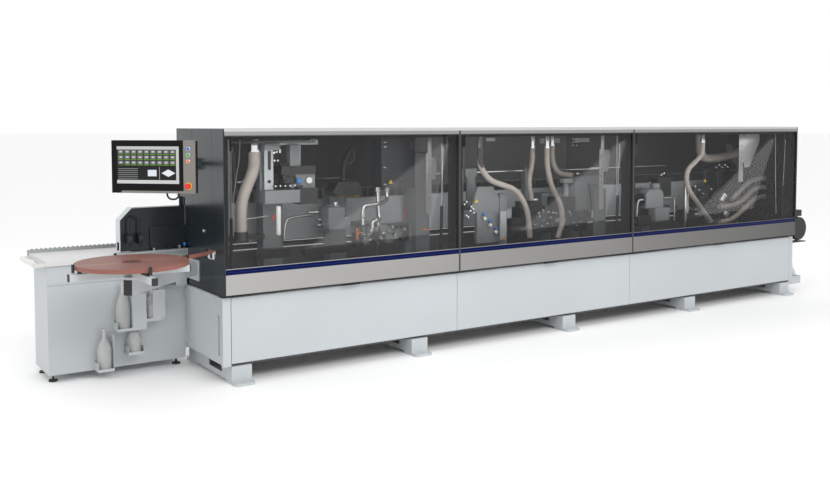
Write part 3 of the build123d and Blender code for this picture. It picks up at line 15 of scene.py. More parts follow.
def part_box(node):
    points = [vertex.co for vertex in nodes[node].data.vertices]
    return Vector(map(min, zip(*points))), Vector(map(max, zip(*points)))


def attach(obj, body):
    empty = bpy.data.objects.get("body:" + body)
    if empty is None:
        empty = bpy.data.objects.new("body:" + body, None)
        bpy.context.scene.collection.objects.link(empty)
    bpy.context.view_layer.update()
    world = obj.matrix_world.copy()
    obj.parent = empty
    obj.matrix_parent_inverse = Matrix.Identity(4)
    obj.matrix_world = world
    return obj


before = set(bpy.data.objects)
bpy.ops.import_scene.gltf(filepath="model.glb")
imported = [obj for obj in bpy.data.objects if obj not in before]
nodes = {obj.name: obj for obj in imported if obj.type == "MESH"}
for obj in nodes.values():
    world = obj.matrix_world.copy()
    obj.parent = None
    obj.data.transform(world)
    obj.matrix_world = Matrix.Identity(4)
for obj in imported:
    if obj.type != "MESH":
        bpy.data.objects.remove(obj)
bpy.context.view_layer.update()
print("pieces in the frame:", len(nodes))

# %% [markdown]
# The camera stands at the infeed end, slightly to the left of the hood, at about eye height.
# A camera is a position and a direction, so three vectors set it: where it looks, what is to its
# right, and their cross product, which is up. The lens is moved down a little instead of being
# tilted, which keeps the upright edges upright.

# %% Camera
camera_data = bpy.data.cameras.new("camera")
camera_data.lens = 40.86
camera_data.sensor_width = 36
camera_data.shift_y = -0.088
camera_data.clip_end = 200
camera = bpy.data.objects.new("camera", camera_data)
bpy.context.scene.collection.objects.link(camera)
look = Vector((0.55518, 0.82988, -0.05575)).normalized()
right = Vector((0.83118, -0.55600, -0.00072)).normalized()
up = right.cross(look)
turn = Matrix((right, up, -look)).transposed().to_4x4()
camera.matrix_world = Matrix.Translation((-2.8776, -6.6635, 1.9969)) @ turn
bpy.context.scene.camera = camera
print("camera looks along", tuple(round(value, 3) for value in look))

# %% [markdown]
# Paint, metal and plastic all look flat when one number stands for the whole surface. Each finish
# here starts from the one general shader and adds small changes in colour, roughness and
# height. To keep that readable, a small class wraps a node socket, so that shader maths is written
# as ordinary sums.

# %% A socket that does sums
class Wire:
    """One output socket, with arithmetic."""

    def __init__(self, finish, socket):
        self.finish = finish
        self.socket = socket

    def _sum(self, operation, first, second=None):
        inputs = {0: first} if second is None else {0: first, 1: second}
        return self.finish.add("ShaderNodeMath", {"operation": operation}, inputs)

    def __add__(self, other):
        return self._sum("ADD", self, other)

    def __radd__(self, other):
        return self._sum("ADD", other, self)

    def __sub__(self, other):
        return self._sum("SUBTRACT", self, other)

    def __rsub__(self, other):
        return self._sum("SUBTRACT", other, self)

    def __mul__(self, other):
        return self._sum("MULTIPLY", self, other)

    def __rmul__(self, other):
        return self._sum("MULTIPLY", other, self)

    def __truediv__(self, other):
        return self._sum("DIVIDE", self, other)

    def __gt__(self, other):
        return self._sum("GREATER_THAN", self, other)

    def __lt__(self, other):
        return self._sum("LESS_THAN", self, other)

    def __abs__(self):
        return self._sum("ABSOLUTE", self)

    def wrap(self, step):
        """Distance into the current step of a repeating pattern, from 0 to 1."""
        return self._sum("FRACT", self / step)

    def sine(self):
        return self._sum("SINE", self)

    def root(self):
        return self._sum("SQRT", self)


# %% [markdown]
# A material is a tree of nodes. One class holds the tree and makes any node from its type, its
# settings and the values of its sockets, so that every finish below reads as a short recipe.

# %% A finish
class Finish:
    """One material, built around its main shader."""

    def __init__(self, name, **constants):
        self.material = bpy.data.materials.new(name)
        self.material.use_nodes = True
        self.tree = self.material.node_tree
        self.shader = self.tree.nodes["Principled BSDF"]
        self._place = None
        for key, value in constants.items():
            self.set(key.replace("_", " "), value)

    def feed(self, socket, value):
        if isinstance(value, Wire):
            self.tree.links.new(value.socket, socket)
        elif isinstance(value, (tuple, list)) and len(value) == 3 and len(socket.default_value) == 4:
            socket.default_value = (*value, 1)
        else:
            socket.default_value = value

    def add(self, kind, settings=None, inputs=None, output=0):
        node = self.tree.nodes.new(kind)
        for key, value in (settings or {}).items():
            setattr(node, key, value)
        for key, value in (inputs or {}).items():
            self.feed(node.inputs[key], value)
        return Wire(self, node.outputs[output])

    def set(self, name, value):
        self.feed(self.shader.inputs[name], value)

    def place(self):
        """Object coordinates as three wires, in metres."""
        if self._place is None:
            self.coordinates = self.add("ShaderNodeTexCoord", output="Object")
            parts = self.tree.nodes.new("ShaderNodeSeparateXYZ")
            self.feed(parts.inputs[0], self.coordinates)
            self._place = [Wire(self, parts.outputs[i]) for i in range(3)]
        return self._place

    def noise(self, scale, detail=2.0, stretch=(1, 1, 1)):
        """Cloudy values from 0 to 1, with about that many clouds to a metre."""
        self.place()
        moved = self.add("ShaderNodeMapping", None, {"Vector": self.coordinates, "Scale": stretch})
        return self.add("ShaderNodeTexNoise", None, {"Vector": moved, "Scale": scale, "Detail": detail})

    def mix(self, factor, first, second):
        """Colour mix: first where factor is 0, second where it is 1."""
        return self.add("ShaderNodeMix", {"data_type": "RGBA"}, {0: factor, 6: first, 7: second}, output=2)

    def bump(self, height, depth):
        self.set("Normal", self.add("ShaderNodeBump", None, {"Height": height, "Distance": depth}))

    def between(self, value, low, high):
        return (value > low) * (value < high)


def dress(finish, *names):
    """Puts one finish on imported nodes."""
    for name in names:
        mesh = nodes[name].data
        mesh.materials.clear()
        mesh.materials.append(finish.material)


print("shader helpers ready")

# %% [markdown]
# Most of the sheet metal is powder coated. Powder coat is matt to satin and has a very fine
# orange peel, so a small noise drives the bump, and a large soft one moves colour and roughness a
# little. The same recipe with other numbers gives the light panels, the dark gloss of the hood
# ends and the greys inside.

# %% Coated sheet metal
def coated(name, colour, roughness, peel=0.00002, coat=0.0, metal=0.0, cloud=0.06):
    finish = Finish(name, Metallic=metal, Coat_Weight=coat, Coat_Roughness=0.12)
    broad = finish.noise(2.2, 3)
    fine = finish.noise(420, 1)
    darker = tuple(channel * (1 - cloud) for channel in colour)
    finish.set("Base Color", finish.mix(broad, darker, colour))
    finish.set("Roughness", broad * 0.10 + (roughness - 0.05) + fine * 0.04)
    finish.bump(fine, peel)
    return finish


stand_pale = coated("stand_coat", (0.475, 0.505, 0.52), 0.40)
x, y, z = stand_pale.place()
# The stand's top is painted near black in a disc under the coil's open centre.
from_coil_centre = ((x + 0.84) * (x + 0.84) + (y - 0.02) * (y - 0.02)).root()
coil_centre_disc = (from_coil_centre < 0.069) * (z > 0.985)
stand_pale.set("Base Color", stand_pale.mix(coil_centre_disc, (0.475, 0.505, 0.52), (0.006, 0.006, 0.007)))
pale = coated("pale_coat", (0.475, 0.505, 0.52), 0.46)
white = coated("white_coat", (0.45, 0.455, 0.455), 0.42)
anthracite = coated("anthracite_coat", (0.014, 0.020, 0.024), 0.24, coat=0.1, cloud=0.12)
anthracite.set("Specular IOR Level", 0.34)
frame_dark = coated("frame_dark_coat", (0.035, 0.037, 0.038), 0.45)
unit_grey = coated("unit_grey_coat", (0.20, 0.215, 0.22), 0.38, cloud=0.15)
motor_black = coated("motor_black_coat", (0.016, 0.017, 0.018), 0.34, cloud=0.2)
glue_dark = coated("glue_dark_coat", (0.038, 0.041, 0.044), 0.36, cloud=0.15)
back_grey = coated("back_grey_coat", (0.10, 0.10, 0.10), 0.5)
bed_grey = coated("bed_grey_coat", (0.075, 0.078, 0.08), 0.5)
dress(pale, "base_panels", "base_end_covers", "base_side_door", "feet")
dress(pale, "infeed_cabinet", "bottle_holders")
dress(stand_pale, "coil_stand")
dress(anthracite, "hood_left_side", "hood_right_side", "beam_guard", "panel_shell")
dress(frame_dark, "hood_frame", "panel_arm")
x, y, z = back_grey.place()
# Painted light: the middle of the rear sheet, behind the middle door, is painted lighter than its ends.
painted_light_middle = (x - 2.06) * (4.24 - x) > 0
glow = back_grey.noise(0.8, 2)
shade = back_grey.mix(painted_light_middle, (0.035, 0.036, 0.036), (0.15, 0.152, 0.15))
back_grey.set("Base Color", back_grey.mix(glow * 0.6, shade, (0.03, 0.03, 0.03)))
dress(back_grey, "hood_back")
dress(white, "hood_roof")
dress(unit_grey, "unit_plates", "end_trim_saws")
dress(motor_black, "unit_motors")
dress(glue_dark, "glue_unit")
dress(bed_grey, "machine_bed")
print("coated finishes done")

# %% [markdown]
# Bright metal is either brushed or turned. Brushing leaves long thin scratches, so the noise is
# stretched along the stroke until it becomes lines.

# %% Bare metal
def brushed(name, colour, roughness, stroke=(0.6, 60, 60), metal=1.0):
    finish = Finish(name, Metallic=metal)
    lines = finish.noise(14, 4, stroke)
    cloud = finish.noise(1.6, 2)
    darker = tuple(channel * 0.86 for channel in colour)
    finish.set("Base Color", finish.mix(lines, darker, colour))
    finish.set("Roughness", lines * 0.14 + cloud * 0.08 + (roughness - 0.1))
    finish.bump(lines, 0.00006)
    return finish


steel = brushed("brushed_steel", (0.60, 0.60, 0.59), 0.30)
chrome = brushed("bright_rod", (0.72, 0.72, 0.72), 0.16, (30, 30, 0.6))
profile = brushed("matt_profile", (0.40, 0.42, 0.43), 0.42, metal=0.35)
beam = brushed("beam_profile", (0.62, 0.66, 0.67), 0.44, metal=0.1)
chain_steel = brushed("chain_steel", (0.16, 0.16, 0.165), 0.38, metal=0.8)
dress(steel, "bracket_strips")
dress(chrome, "steel_fittings", "glue_roller", "strut_rods_left", "strut_rods_middle", "strut_rods_right")
dress(profile, "infeed_fence", "guide_rail")
dress(beam, "pressure_beam")
dress(chain_steel, "feed_chain", "drive_sprocket", "idler_sprocket")
print("metal finishes done")

# %% [markdown]
# Each door frame is one anodised aluminium profile with a coloured stripe printed on its lower
# rail. Object coordinates are metres in the machine's own frame, so the stripe is a band between
# two heights, and a painted shadow of the gap at the foot of the door is another.

# %% Door frames
STRIP_TOP = 0.902
GLASS_TOP = 1.906
anodised = Finish("anodised_doors", Specular_IOR_Level=0.25)
x, y, z = anodised.place()
lines = anodised.noise(14, 4, (0.5, 60, 60))
# Painted reflection falloff: the frames' metal darkens from left to right along the hood, standing for
# reflections that fade.
painted_reflection_falloff = (x + 0.14) / 7.1
brushed_colour = anodised.mix(lines, (0.37, 0.362, 0.35), (0.43, 0.42, 0.41))
metal_colour = anodised.mix(painted_reflection_falloff, brushed_colour, (0.12, 0.12, 0.118))
stripe = anodised.between(z, STRIP_TOP - 0.046, STRIP_TOP - 0.005) * (y < 0.002)
shade_line = anodised.between(z, STRIP_TOP - 0.028, STRIP_TOP - 0.025) * (y < 0.002)
stiles = anodised.between(z, STRIP_TOP, GLASS_TOP)
top_rail = z > GLASS_TOP
rail_shade = anodised.between(z, GLASS_TOP, GLASS_TOP + 0.008)
# Painted shadow: the frame's foot is near black, standing for the shade in the gap under the door.
painted_gap_shadow = (z < 0.701)
colour = anodised.mix(stripe, metal_colour, (0.002, 0.006, 0.055))
colour = anodised.mix(shade_line, colour, (0.02, 0.035, 0.16))
colour = anodised.mix(top_rail, colour, (0.30, 0.30, 0.295))
colour = anodised.mix(rail_shade, colour, (0.09, 0.09, 0.09))
colour = anodised.mix(stiles, colour, (0.010, 0.011, 0.012))
colour = anodised.mix(painted_gap_shadow, colour, (0.012, 0.012, 0.013))
anodised.set("Base Color", colour)
anodised.set("Metallic", (1 - stiles) * (1 - painted_gap_shadow) * 0.8)
anodised.set("Roughness", lines * 0.1 + 0.30)
anodised.bump(lines, 0.00005)
dress(anodised, "door_left_frame", "door_middle_frame", "door_right_frame")
print("door frames done")

# %% [markdown]
# The panes are smoked polycarbonate: dark, see-through and glossy. Alpha lets the inside show, and
# the shader's own reflection gives the studio's soft grey. A faint waviness keeps the reflection
# from looking like a perfect mirror.

# %% Smoked panes
pane = Finish("smoked_pane", IOR=1.5)
wave = pane.noise(0.9, 1)
pane.set("Base Color", pane.mix(wave, (0.006, 0.006, 0.007), (0.012, 0.012, 0.013)))
pane.set("Alpha", wave * 0.05 + 0.33)
pane.set("Roughness", wave * 0.02 + 0.02)
dress(pane, "door_left_glass", "door_middle_glass", "door_right_glass")
print("panes done")

# %% [markdown]
# Plastics: black mouldings are slightly rough, the roller at the table's end is a white tube, and
# the bottles are frosted, so they scatter the light that comes through them.

# %% Plastics and rubber
def moulded(name, colour, roughness, grain=900, depth=0.00008, **constants):
    finish = Finish(name, **constants)
    fine = finish.noise(grain, 1)
    cloud = finish.noise(6, 2)
    darker = tuple(channel * 0.85 for channel in colour)
    finish.set("Base Color", finish.mix(cloud, darker, colour))
    finish.set("Roughness", fine * 0.08 + (roughness - 0.04))
    finish.bump(fine, depth)
    return finish


black = moulded("black_moulding", (0.012, 0.012, 0.013), 0.5)
rubber = moulded("belt_rubber", (0.02, 0.02, 0.02), 0.72)
strut_paint = moulded("strut_paint", (0.014, 0.014, 0.015), 0.25)
white_plastic = moulded("white_roller", (0.72, 0.72, 0.70), 0.45)
felt = moulded("polishing_cloth", (0.70, 0.68, 0.62), 0.95, 300, 0.002)
frosted = moulded("frosted_bottle", (0.62, 0.63, 0.62), 0.42, Alpha=0.62, IOR=1.45)
greige = coated("greige_coat", (0.21, 0.198, 0.182), 0.34, metal=0.35)
dress(black, "black_caps", "panel_cable", "ear_defenders", "levelling_feet", "outfeed_drum")
dress(rubber, "pressure_belt")
dress(strut_paint, "strut_tubes_left", "strut_tubes_middle", "strut_tubes_right")
dress(white_plastic, "end_roller")
dress(felt, "buffing_wheel")
dress(frosted, "bottles")
dress(greige, "panel_trim")
for button, tint in (
    ("button_blue", (0.01, 0.12, 0.62)),
    ("button_green", (0.03, 0.42, 0.05)),
    ("button_orange", (0.85, 0.16, 0.03)),
    ("estop_button", (0.72, 0.012, 0.010)),
):
    dress(moulded(button + "_cap", tint, 0.28), button)
print("plastic finishes done")

# %% [markdown]
# The coil is hundreds of turns of thin edging, so its flat faces show fine rings and its rim shows
# none. The distance from the coil's axis drives the rings, a slow noise makes the brown uneven, and
# one pale line crosses the top.

# %% Edging
coil_low, coil_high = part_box("edging_coil")
coil_middle = (coil_low + coil_high) / 2
edging = Finish("edging_coil", Specular_IOR_Level=0.4)
x, y, z = edging.place()
dx = x - coil_middle.x
dy = y - coil_middle.y
radius = (dx * dx + dy * dy).root()
rings = radius.wrap(0.0042)
uneven = edging.noise(5, 3)
base = edging.mix(uneven, (0.20, 0.075, 0.055), (0.27, 0.105, 0.08))
line = (abs(dy - dx * 0.10) < 0.0035) * (z > 1.0195)
split = edging.mix((rings > 0.82) * 0.45, base, (0.12, 0.035, 0.026))
edging.set("Base Color", edging.mix(line, split, (0.42, 0.30, 0.25)))
edging.set("Roughness", uneven * 0.16 + 0.36)
edging.bump((rings > 0.82) * -1.0, 0.0006)
dress(edging, "edging_coil")

band = Finish("edging_band")
x, y, z = band.place()
grain = band.noise(60, 2, (1, 1, 0.2))
band.set("Base Color", band.mix(grain, (0.22, 0.08, 0.06), (0.29, 0.115, 0.088)))
band.set("Roughness", grain * 0.2 + 0.35)
dress(band, "edging_band")
print("coil finish done")

# %% [markdown]
# The infeed table is a pale laminate with a grid of small screws, which are drawn as sunken dots
# because each is only a few millimetres wide.

# %% Table top
table = Finish("table_laminate")
x, y, z = table.place()
cloud = table.noise(4, 3)
u = abs((x + 1.25).wrap(0.183) - 0.5) * 0.183
v = abs((y - 0.85).wrap(0.142) - 0.5) * 0.142
from_screw = (u * u + v * v).root()
screw = (from_screw < 0.0048) * (z > 0.9495)
laminate = table.mix(cloud, (0.56, 0.565, 0.56), (0.62, 0.62, 0.615))
table.set("Base Color", table.mix(screw, laminate, (0.33, 0.20, 0.17)))
table.set("Roughness", cloud * 0.12 + 0.34)
table.bump(screw * -1.0, 0.001)
dress(table, "infeed_table")
print("table finish done")

# %% [markdown]
# A dust hose is a clear plastic tube wound on a wire, and dust inside makes it beige. The packed
# hoses are smooth tubes, so the wire shows as ridges across them, from a sine of the height and
# the length together.

# %% Dust hoses
hose = Finish("hose_plastic", Specular_IOR_Level=0.6)
x, y, z = hose.place()
grime = hose.noise(9, 3)
turns = ((z * 1.0 + x * 0.7) * (2 * math.pi / 0.016)).sine()
hose_colour = hose.mix(grime, (0.30, 0.26, 0.23), (0.44, 0.40, 0.36))
hose.set("Base Color", hose.mix((turns > 0.55) * 0.18, hose_colour, (0.20, 0.17, 0.15)))
hose.set("Roughness", grime * 0.2 + 0.2)
hose.bump(turns, 0.0005)
dress(hose, "dust_hoses")
print("hose finish done")

# %% [markdown]
# The operator's screen is one dark sheet of glass. What it shows is drawn in the shader, from the
# distance along the panel and the height: a header, rows of machine icons with green bars under
# them, a list and two drawings, with no words in any language.

# %% Operator's screen
PANEL_MIDDLE = Vector((-0.567, 0.319, 1.680))
PANEL_RIGHT = Vector((0.7161, -0.698, 0))
PANEL_FACING = Vector((-0.698, -0.7161, 0))
screen = Finish("operator_screen", Specular_IOR_Level=0.12)
x, y, z = screen.place()
across = (x - PANEL_MIDDLE.x) * PANEL_RIGHT.x + (y - PANEL_MIDDLE.y) * PANEL_RIGHT.y + 0.336
down = PANEL_MIDDLE.z + 0.199 - z
depth = (x - PANEL_MIDDLE.x) * PANEL_FACING.x + (y - PANEL_MIDDLE.y) * PANEL_FACING.y
glass_front = depth > 0.0235
lit = screen.between(across, 0.043, 0.543) * screen.between(down, 0.046, 0.326) * glass_front
column = (across - 0.043) / 0.500
row = (down - 0.046) / 0.280


def bar(left, right, top, bottom):
    return screen.between(column, left, right) * screen.between(row, top, bottom)


tile_u = ((column - 0.012) * 9 / 0.94).wrap(1)
tile_v = (row - 0.085).wrap(0.145)
icons = screen.between(column, 0.01, 0.945) * screen.between(row, 0.085, 0.52)
tile = icons * screen.between(tile_u, 0.07, 0.93) * screen.between(tile_v, 0.08, 0.72)
drawing = icons * screen.between(tile_u, 0.3, 0.72) * screen.between(tile_v, 0.26, 0.56)
lamp = icons * screen.between(tile_u, 0.07, 0.93) * screen.between(tile_v, 0.78, 0.93)
green = lamp * (row > 0.2) * (1 - bar(0.0, 0.12, 0.4, 0.5))
header = bar(0, 1, 0, 0.085)
footer = bar(0, 1, 0.905, 1)
side_bar = bar(0.955, 1, 0.085, 0.905)
list_area = bar(0.02, 0.42, 0.56, 0.87)
list_lines = list_area * ((row - 0.56).wrap(0.052) > 0.62) * (column < 0.34)
sheet_left = bar(0.50, 0.64, 0.63, 0.80)
board_u = (column - 0.83) * 0.9
board_v = row - 0.715
board = (abs(board_u) + abs(board_v) < 0.10) * (column > 0.7)
divider = bar(0.685, 0.692, 0.55, 0.89)
shown_colour = screen.mix(header, (0.015, 0.016, 0.017), (0.55, 0.57, 0.56))
for mask, tint in (
    (tile, (0.16, 0.165, 0.16)),
    (drawing, (0.55, 0.58, 0.62)),
    (green, (0.16, 0.33, 0.03)),
    (footer, (0.62, 0.63, 0.62)),
    (side_bar, (0.58, 0.59, 0.56)),
    (list_lines, (0.22, 0.23, 0.22)),
    (sheet_left, (0.75, 0.80, 0.86)),
    (board, (0.80, 0.84, 0.86)),
    (divider, (0.5, 0.5, 0.5)),
):
    shown_colour = screen.mix(mask, shown_colour, tint)
screen.set("Base Color", screen.mix(lit, (0.006, 0.006, 0.007), (0.004, 0.004, 0.004)))
screen.set("Emission Color", screen.mix(lit, (0, 0, 0), shown_colour))
screen.set("Emission Strength", 1.0)
screen.set("Roughness", glass_front * 0.02 + 0.12)
dress(screen, "panel_face")
print("screen done")

# %% [markdown]
# Small pieces are built from three recipes: a plate cut from an outline, a turned part made by
# spinning a profile, and a pipe that follows a few points. All places are written in millimetres,
# in the machine's own frame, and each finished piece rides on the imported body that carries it.

# %% Recipes for small pieces
def keep(mesh_data, name, finish, body="frame", smooth=False):
    """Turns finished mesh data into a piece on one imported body."""
    piece = bpy.data.objects.new(name, mesh_data)
    bpy.context.scene.collection.objects.link(piece)
    piece.data.materials.append(finish.material)
    for face in piece.data.polygons:
        face.use_smooth = smooth
    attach(piece, body)
    return piece


# %% [markdown]
# Covers and brackets are cut from sheet or block. An outline drawn from the front and thickened
# along the depth gives each its shape, and a small bevel lets its edges catch the light.

# %% Plates
def add_plate(shape, outline, depth, bevel=1.5):
    """Adds an outline in X and Z, thickened along Y between two depths, with softened edges."""
    front = [shape.verts.new((px / 1000, depth[0] / 1000, pz / 1000)) for px, pz in outline]
    back = [shape.verts.new((px / 1000, depth[1] / 1000, pz / 1000)) for px, pz in outline]
    faces = [shape.faces.new(front), shape.faces.new(back[::-1])]
    for i in range(len(outline)):
        j = (i + 1) % len(outline)
        faces.append(shape.faces.new((front[i], back[i], back[j], front[j])))
    edges = list(dict.fromkeys(edge for face in faces for edge in face.edges))
    bmesh.ops.bevel(shape, geom=edges, offset=bevel / 1000, segments=2, affect="EDGES", clamp_overlap=True)


def rectangle(x, z):
    return ((x[0], z[0]), (x[1], z[0]), (x[1], z[1]), (x[0], z[1]))


# %% [markdown]
# Bolts, knobs and heads are round about one axis. A profile of distances and radii is carried
# round that axis, which also gives a waist or a rounded end at no cost.

# %% Turned parts
def add_turned(shape, start, end, profile, steps=20):
    """Adds a lathe part: pairs of distance along the axis and radius, from one end to the other."""
    foot = Vector(start) / 1000
    axis = (Vector(end) - Vector(start)).normalized()
    side = axis.orthogonal().normalized()
    other = axis.cross(side)
    loops = []
    for along, radius in profile:
        centre = foot + axis * along / 1000
        loops.append([
            shape.verts.new(centre + (side * math.cos(a) + other * math.sin(a)) * radius / 1000)
            for a in (2 * math.pi * i / steps for i in range(steps))
        ])
    for low, high in zip(loops, loops[1:]):
        for i in range(steps):
            j = (i + 1) % steps
            shape.faces.new((low[i], low[j], high[j], high[i]))
    if profile[0] == profile[-1]:
        return
    shape.faces.new(loops[0][::-1])
    shape.faces.new(loops[-1])


def knob_profile(length, radius):
    """A small handle or bolt head with a waist and a rounded top."""
    return ((0, radius * 0.62), (length * 0.3, radius * 0.62), (length * 0.34, radius * 0.96),
            (length * 0.42, radius), (length * 0.86, radius), (length * 0.97, radius * 0.85),
            (length, radius * 0.5))


def solid(name, finish, build, body="frame", smooth=False):
    """Runs a building function on empty mesh data and keeps the result."""
    shape = bmesh.new()
    build(shape)
    bmesh.ops.recalc_face_normals(shape, faces=shape.faces)
    mesh_data = bpy.data.meshes.new(name)
    shape.to_mesh(mesh_data)
    shape.free()
    return keep(mesh_data, name, finish, body, smooth)


def plates(name, finish, items, bevel=1.5, body="frame"):
    def build(shape):
        for outline, depth in items:
            add_plate(shape, outline, depth, bevel)
    return solid(name, finish, build, body)


def turned(name, finish, items, body="frame", steps=20):
    def build(shape):
        for start, end, profile in items:
            add_turned(shape, start, end, profile, steps)
    return solid(name, finish, build, body, smooth=False)


# %% [markdown]
# Pipes and cables follow smooth curves. A curve with a round section is drawn through a few points
# and converted to a mesh, so that it can ride on a body as any other piece does.

# %% Pipes
def pipe(name, finish, routes, radius, body="frame"):
    """Round pipes along smooth curves through their points."""
    curve = bpy.data.curves.new(name, "CURVE")
    curve.dimensions = "3D"
    curve.bevel_depth = radius / 1000
    curve.bevel_resolution = 5
    curve.use_fill_caps = True
    for points in routes:
        line = curve.splines.new("NURBS")
        line.points.add(len(points) - 1)
        for spot, place in zip(line.points, points):
            spot.co = (*(value / 1000 for value in place), 1)
        line.order_u = 3
        line.use_endpoint_u = True
        line.resolution_u = 6
    carrier = bpy.data.objects.new(name, curve)
    bpy.context.scene.collection.objects.link(carrier)
    bpy.ops.object.select_all(action="DESELECT")
    carrier.select_set(True)
    bpy.context.view_layer.objects.active = carrier
    bpy.ops.object.convert(target="MESH")
    piece = bpy.context.object
    piece.data.materials.clear()
    piece.data.materials.append(finish.material)
    for face in piece.data.polygons:
        face.use_smooth = True
    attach(piece, body)
    return piece


blue_plastic = moulded("knob_blue", (0.02, 0.22, 0.62), 0.3)
white_knob = moulded("knob_white", (0.78, 0.78, 0.76), 0.35)
yellow_label = moulded("label_yellow", (0.80, 0.52, 0.02), 0.45)
orange_plastic = moulded("lever_orange", (0.75, 0.20, 0.03), 0.35)
red_plastic = moulded("mark_red", (0.55, 0.02, 0.02), 0.4)
print("recipes ready")

# %% [markdown]
# Preparation unit, behind the first door: a light carriage hangs from the top rail, with a slotted
# plate, a connector block and a ribbed profile under it.

# %% Preparation unit
light_plate = coated("light_plate", (0.42, 0.45, 0.455), 0.36, metal=0.3)
plates("premill_carriage", light_plate, [
    (rectangle((276, 871), (1836, 1858)), (440, 470)),
    (rectangle((300, 845), (1826, 1836)), (446, 464)),
    (rectangle((800, 880), (1828, 1868)), (430, 440)),
    (((365, 1834), (446, 1834), (446, 1462), (365, 1462)), (392, 400)),
    (rectangle((372, 690), (1352, 1456)), (372, 384)),
])
plates("premill_profile", beam, [
    (rectangle((636, 654), (1650, 1824)), (462, 500)),
    (rectangle((660, 704), (1650, 1824)), (470, 500)),
    (rectangle((710, 730), (1650, 1824)), (462, 500)),
])
# The slot and gaps of the carriage are drawn as dark plates: painted shade in the openings.
plates("premill_dark_cuts", black, [
    (((396, 1776), (410, 1784), (424, 1776), (424, 1630), (410, 1622), (396, 1630)), (390, 392)),
    (((420, 1430), (436, 1440), (520, 1440), (536, 1430),
      (536, 1386), (520, 1376), (436, 1376), (420, 1386)), (364, 372)),
    (rectangle((640, 702), (1470, 1490)), (366, 400)),
    (rectangle((440, 476), (1482, 1500)), (380, 400)),
    (rectangle((520, 610), (1640, 1668)), (416, 470)),
], bevel=1)
turned("premill_bolts", black, [
    ((u, 372, v), (u, 366, v), ((0, 7), (5, 7), (6, 5)))
    for u, v in ((596, 1430), (628, 1438), (660, 1430), (596, 1400), (628, 1392), (660, 1400), (628, 1414))
] + [((408, 392, 1530), (408, 388, 1530), ((0, 15), (3, 15), (4, 13)))], steps=16)
plates("premill_connector", white_knob, [
    (((440, 1426), (448, 1432), (508, 1432), (516, 1426),
      (516, 1392), (508, 1386), (448, 1386), (440, 1392)), (358, 364)),
    (rectangle((404, 420), (1394, 1424)), (364, 372)),
], bevel=1)
plates("premill_connector_face", glue_dark, [
    (((458, 1420), (500, 1420), (500, 1398), (458, 1398)), (355, 358)),
], bevel=1)
turned("premill_head", motor_black, [
    ((612, 470, 1500), (612, 470, 1650),
     ((0, 70), (10, 84), (60, 84), (70, 78), (110, 78), (118, 96), (140, 96), (150, 84))),
    ((560, 430, 1560), (560, 400, 1560), ((0, 26), (26, 26), (30, 22))),
])
turned("premill_top_bolts", chrome, [
    ((u, 430, 1700 + (i % 2) * 70), (u, 418, 1700 + (i % 2) * 70), knob_profile(12, 9))
    for i, u in enumerate((470, 490, 500, 520))
] + [((u, 436, 1812 - (i % 3) * 24), (u, 424, 1812 - (i % 3) * 24), knob_profile(12, 11))
     for i, u in enumerate((392, 424, 456, 488, 520, 470, 438))] + [
    ((450 + 44 * i, 372, 1492), (450 + 44 * i, 360, 1492), knob_profile(12, 8)) for i in range(5)
], steps=14)
turned("knob_box_blue", blue_plastic, [((677, 400, 1527), (677, 376, 1527), knob_profile(24, 22))])
turned("knob_box_white", white_knob, [((770, 400, 1529), (770, 376, 1529), knob_profile(24, 27))])
print("preparation unit dressed")

# %% [markdown]
# The dust mouth beside the glue unit is a dark wedge with plain yellow triangles, and a black hose
# leaves it upwards. Under it sits the drive box with its grille of small bars.

# %% Dust mouth and drive box
plates("dust_mouth", motor_black, [
    (((1079, 1392), (1092, 1470), (1254, 1464), (1369, 1404), (1356, 1361)), (492, 640)),
    (rectangle((1160, 1236), (1464, 1520)), (520, 600)),
], bevel=4)
triangles = []
for tx, tz, w in ((1142, 1392, 60), (1218, 1390, 60), (1292, 1388, 56)):
    triangles.append((((tx - w / 2, tz - 24), (tx + w / 2, tz - 24), (tx, tz + 24)), (489, 492)))
plates("dust_mouth_labels", yellow_label, triangles, bevel=1)
plates("glue_label", yellow_label, [(((1533, 1474), (1577, 1474), (1555, 1512)), (347, 350))], bevel=1)
plates("unit_two_labels", yellow_label, [
    (((2484, 1262), (2528, 1262), (2506, 1298)), (345, 349)),
    (((3028, 1334), (3060, 1334), (3044, 1362)), (400, 404)),
    (((5880, 1330), (5940, 1330), (5910, 1372)), (470, 474)),
], bevel=1)
pipe("dust_mouth_hose", black, [
    [(1196, 560, 1520), (1196, 560, 1600), (1225, 560, 1720), (1330, 560, 1850), (1430, 560, 1900)],
], 26)
plates("drive_box", light_plate, [
    (rectangle((949, 1112), (1196, 1284)), (424, 560)),
    (((1000, 1110), (1000, 1196), (1164, 1196), (1164, 1110)), (400, 500)),
    (rectangle((1010, 1090), (1284, 1300)), (440, 540)),
], bevel=3)
# The grille's openings are thin dark plates: painted shade in place of holes, with the box's light plate
# showing as bars between them.
grille = []
for i in range(6):
    for j in range(4):
        painted_shade_opening = rectangle((1014 + i * 24, 1030 + i * 24), (1118 + j * 18, 1128 + j * 18))
        grille.append((painted_shade_opening, (396.5, 400)))
plates("drive_box_grille", glue_dark, grille, bevel=0.5)
turned("drive_box_fittings", chrome, [
    ((949, 470, 1182), (880, 470, 1182), ((0, 15), (18, 15), (20, 21), (40, 21), (42, 12), (69, 12))),
    ((949, 470, 1136), (872, 470, 1136), ((0, 15), (22, 15), (24, 24), (46, 24), (48, 14), (77, 14))),
    ((949, 470, 1246), (800, 470, 1250), ((0, 10), (60, 10), (62, 16), (90, 16), (92, 12), (149, 12))),
    ((1040, 424, 1300), (1040, 424, 1336), knob_profile(36, 26)),
])
print("dust mouth and drive box done")

# %% [markdown]
# Two bright glue pipes drop from the dark glue box, and small fittings crowd the application head
# under them.

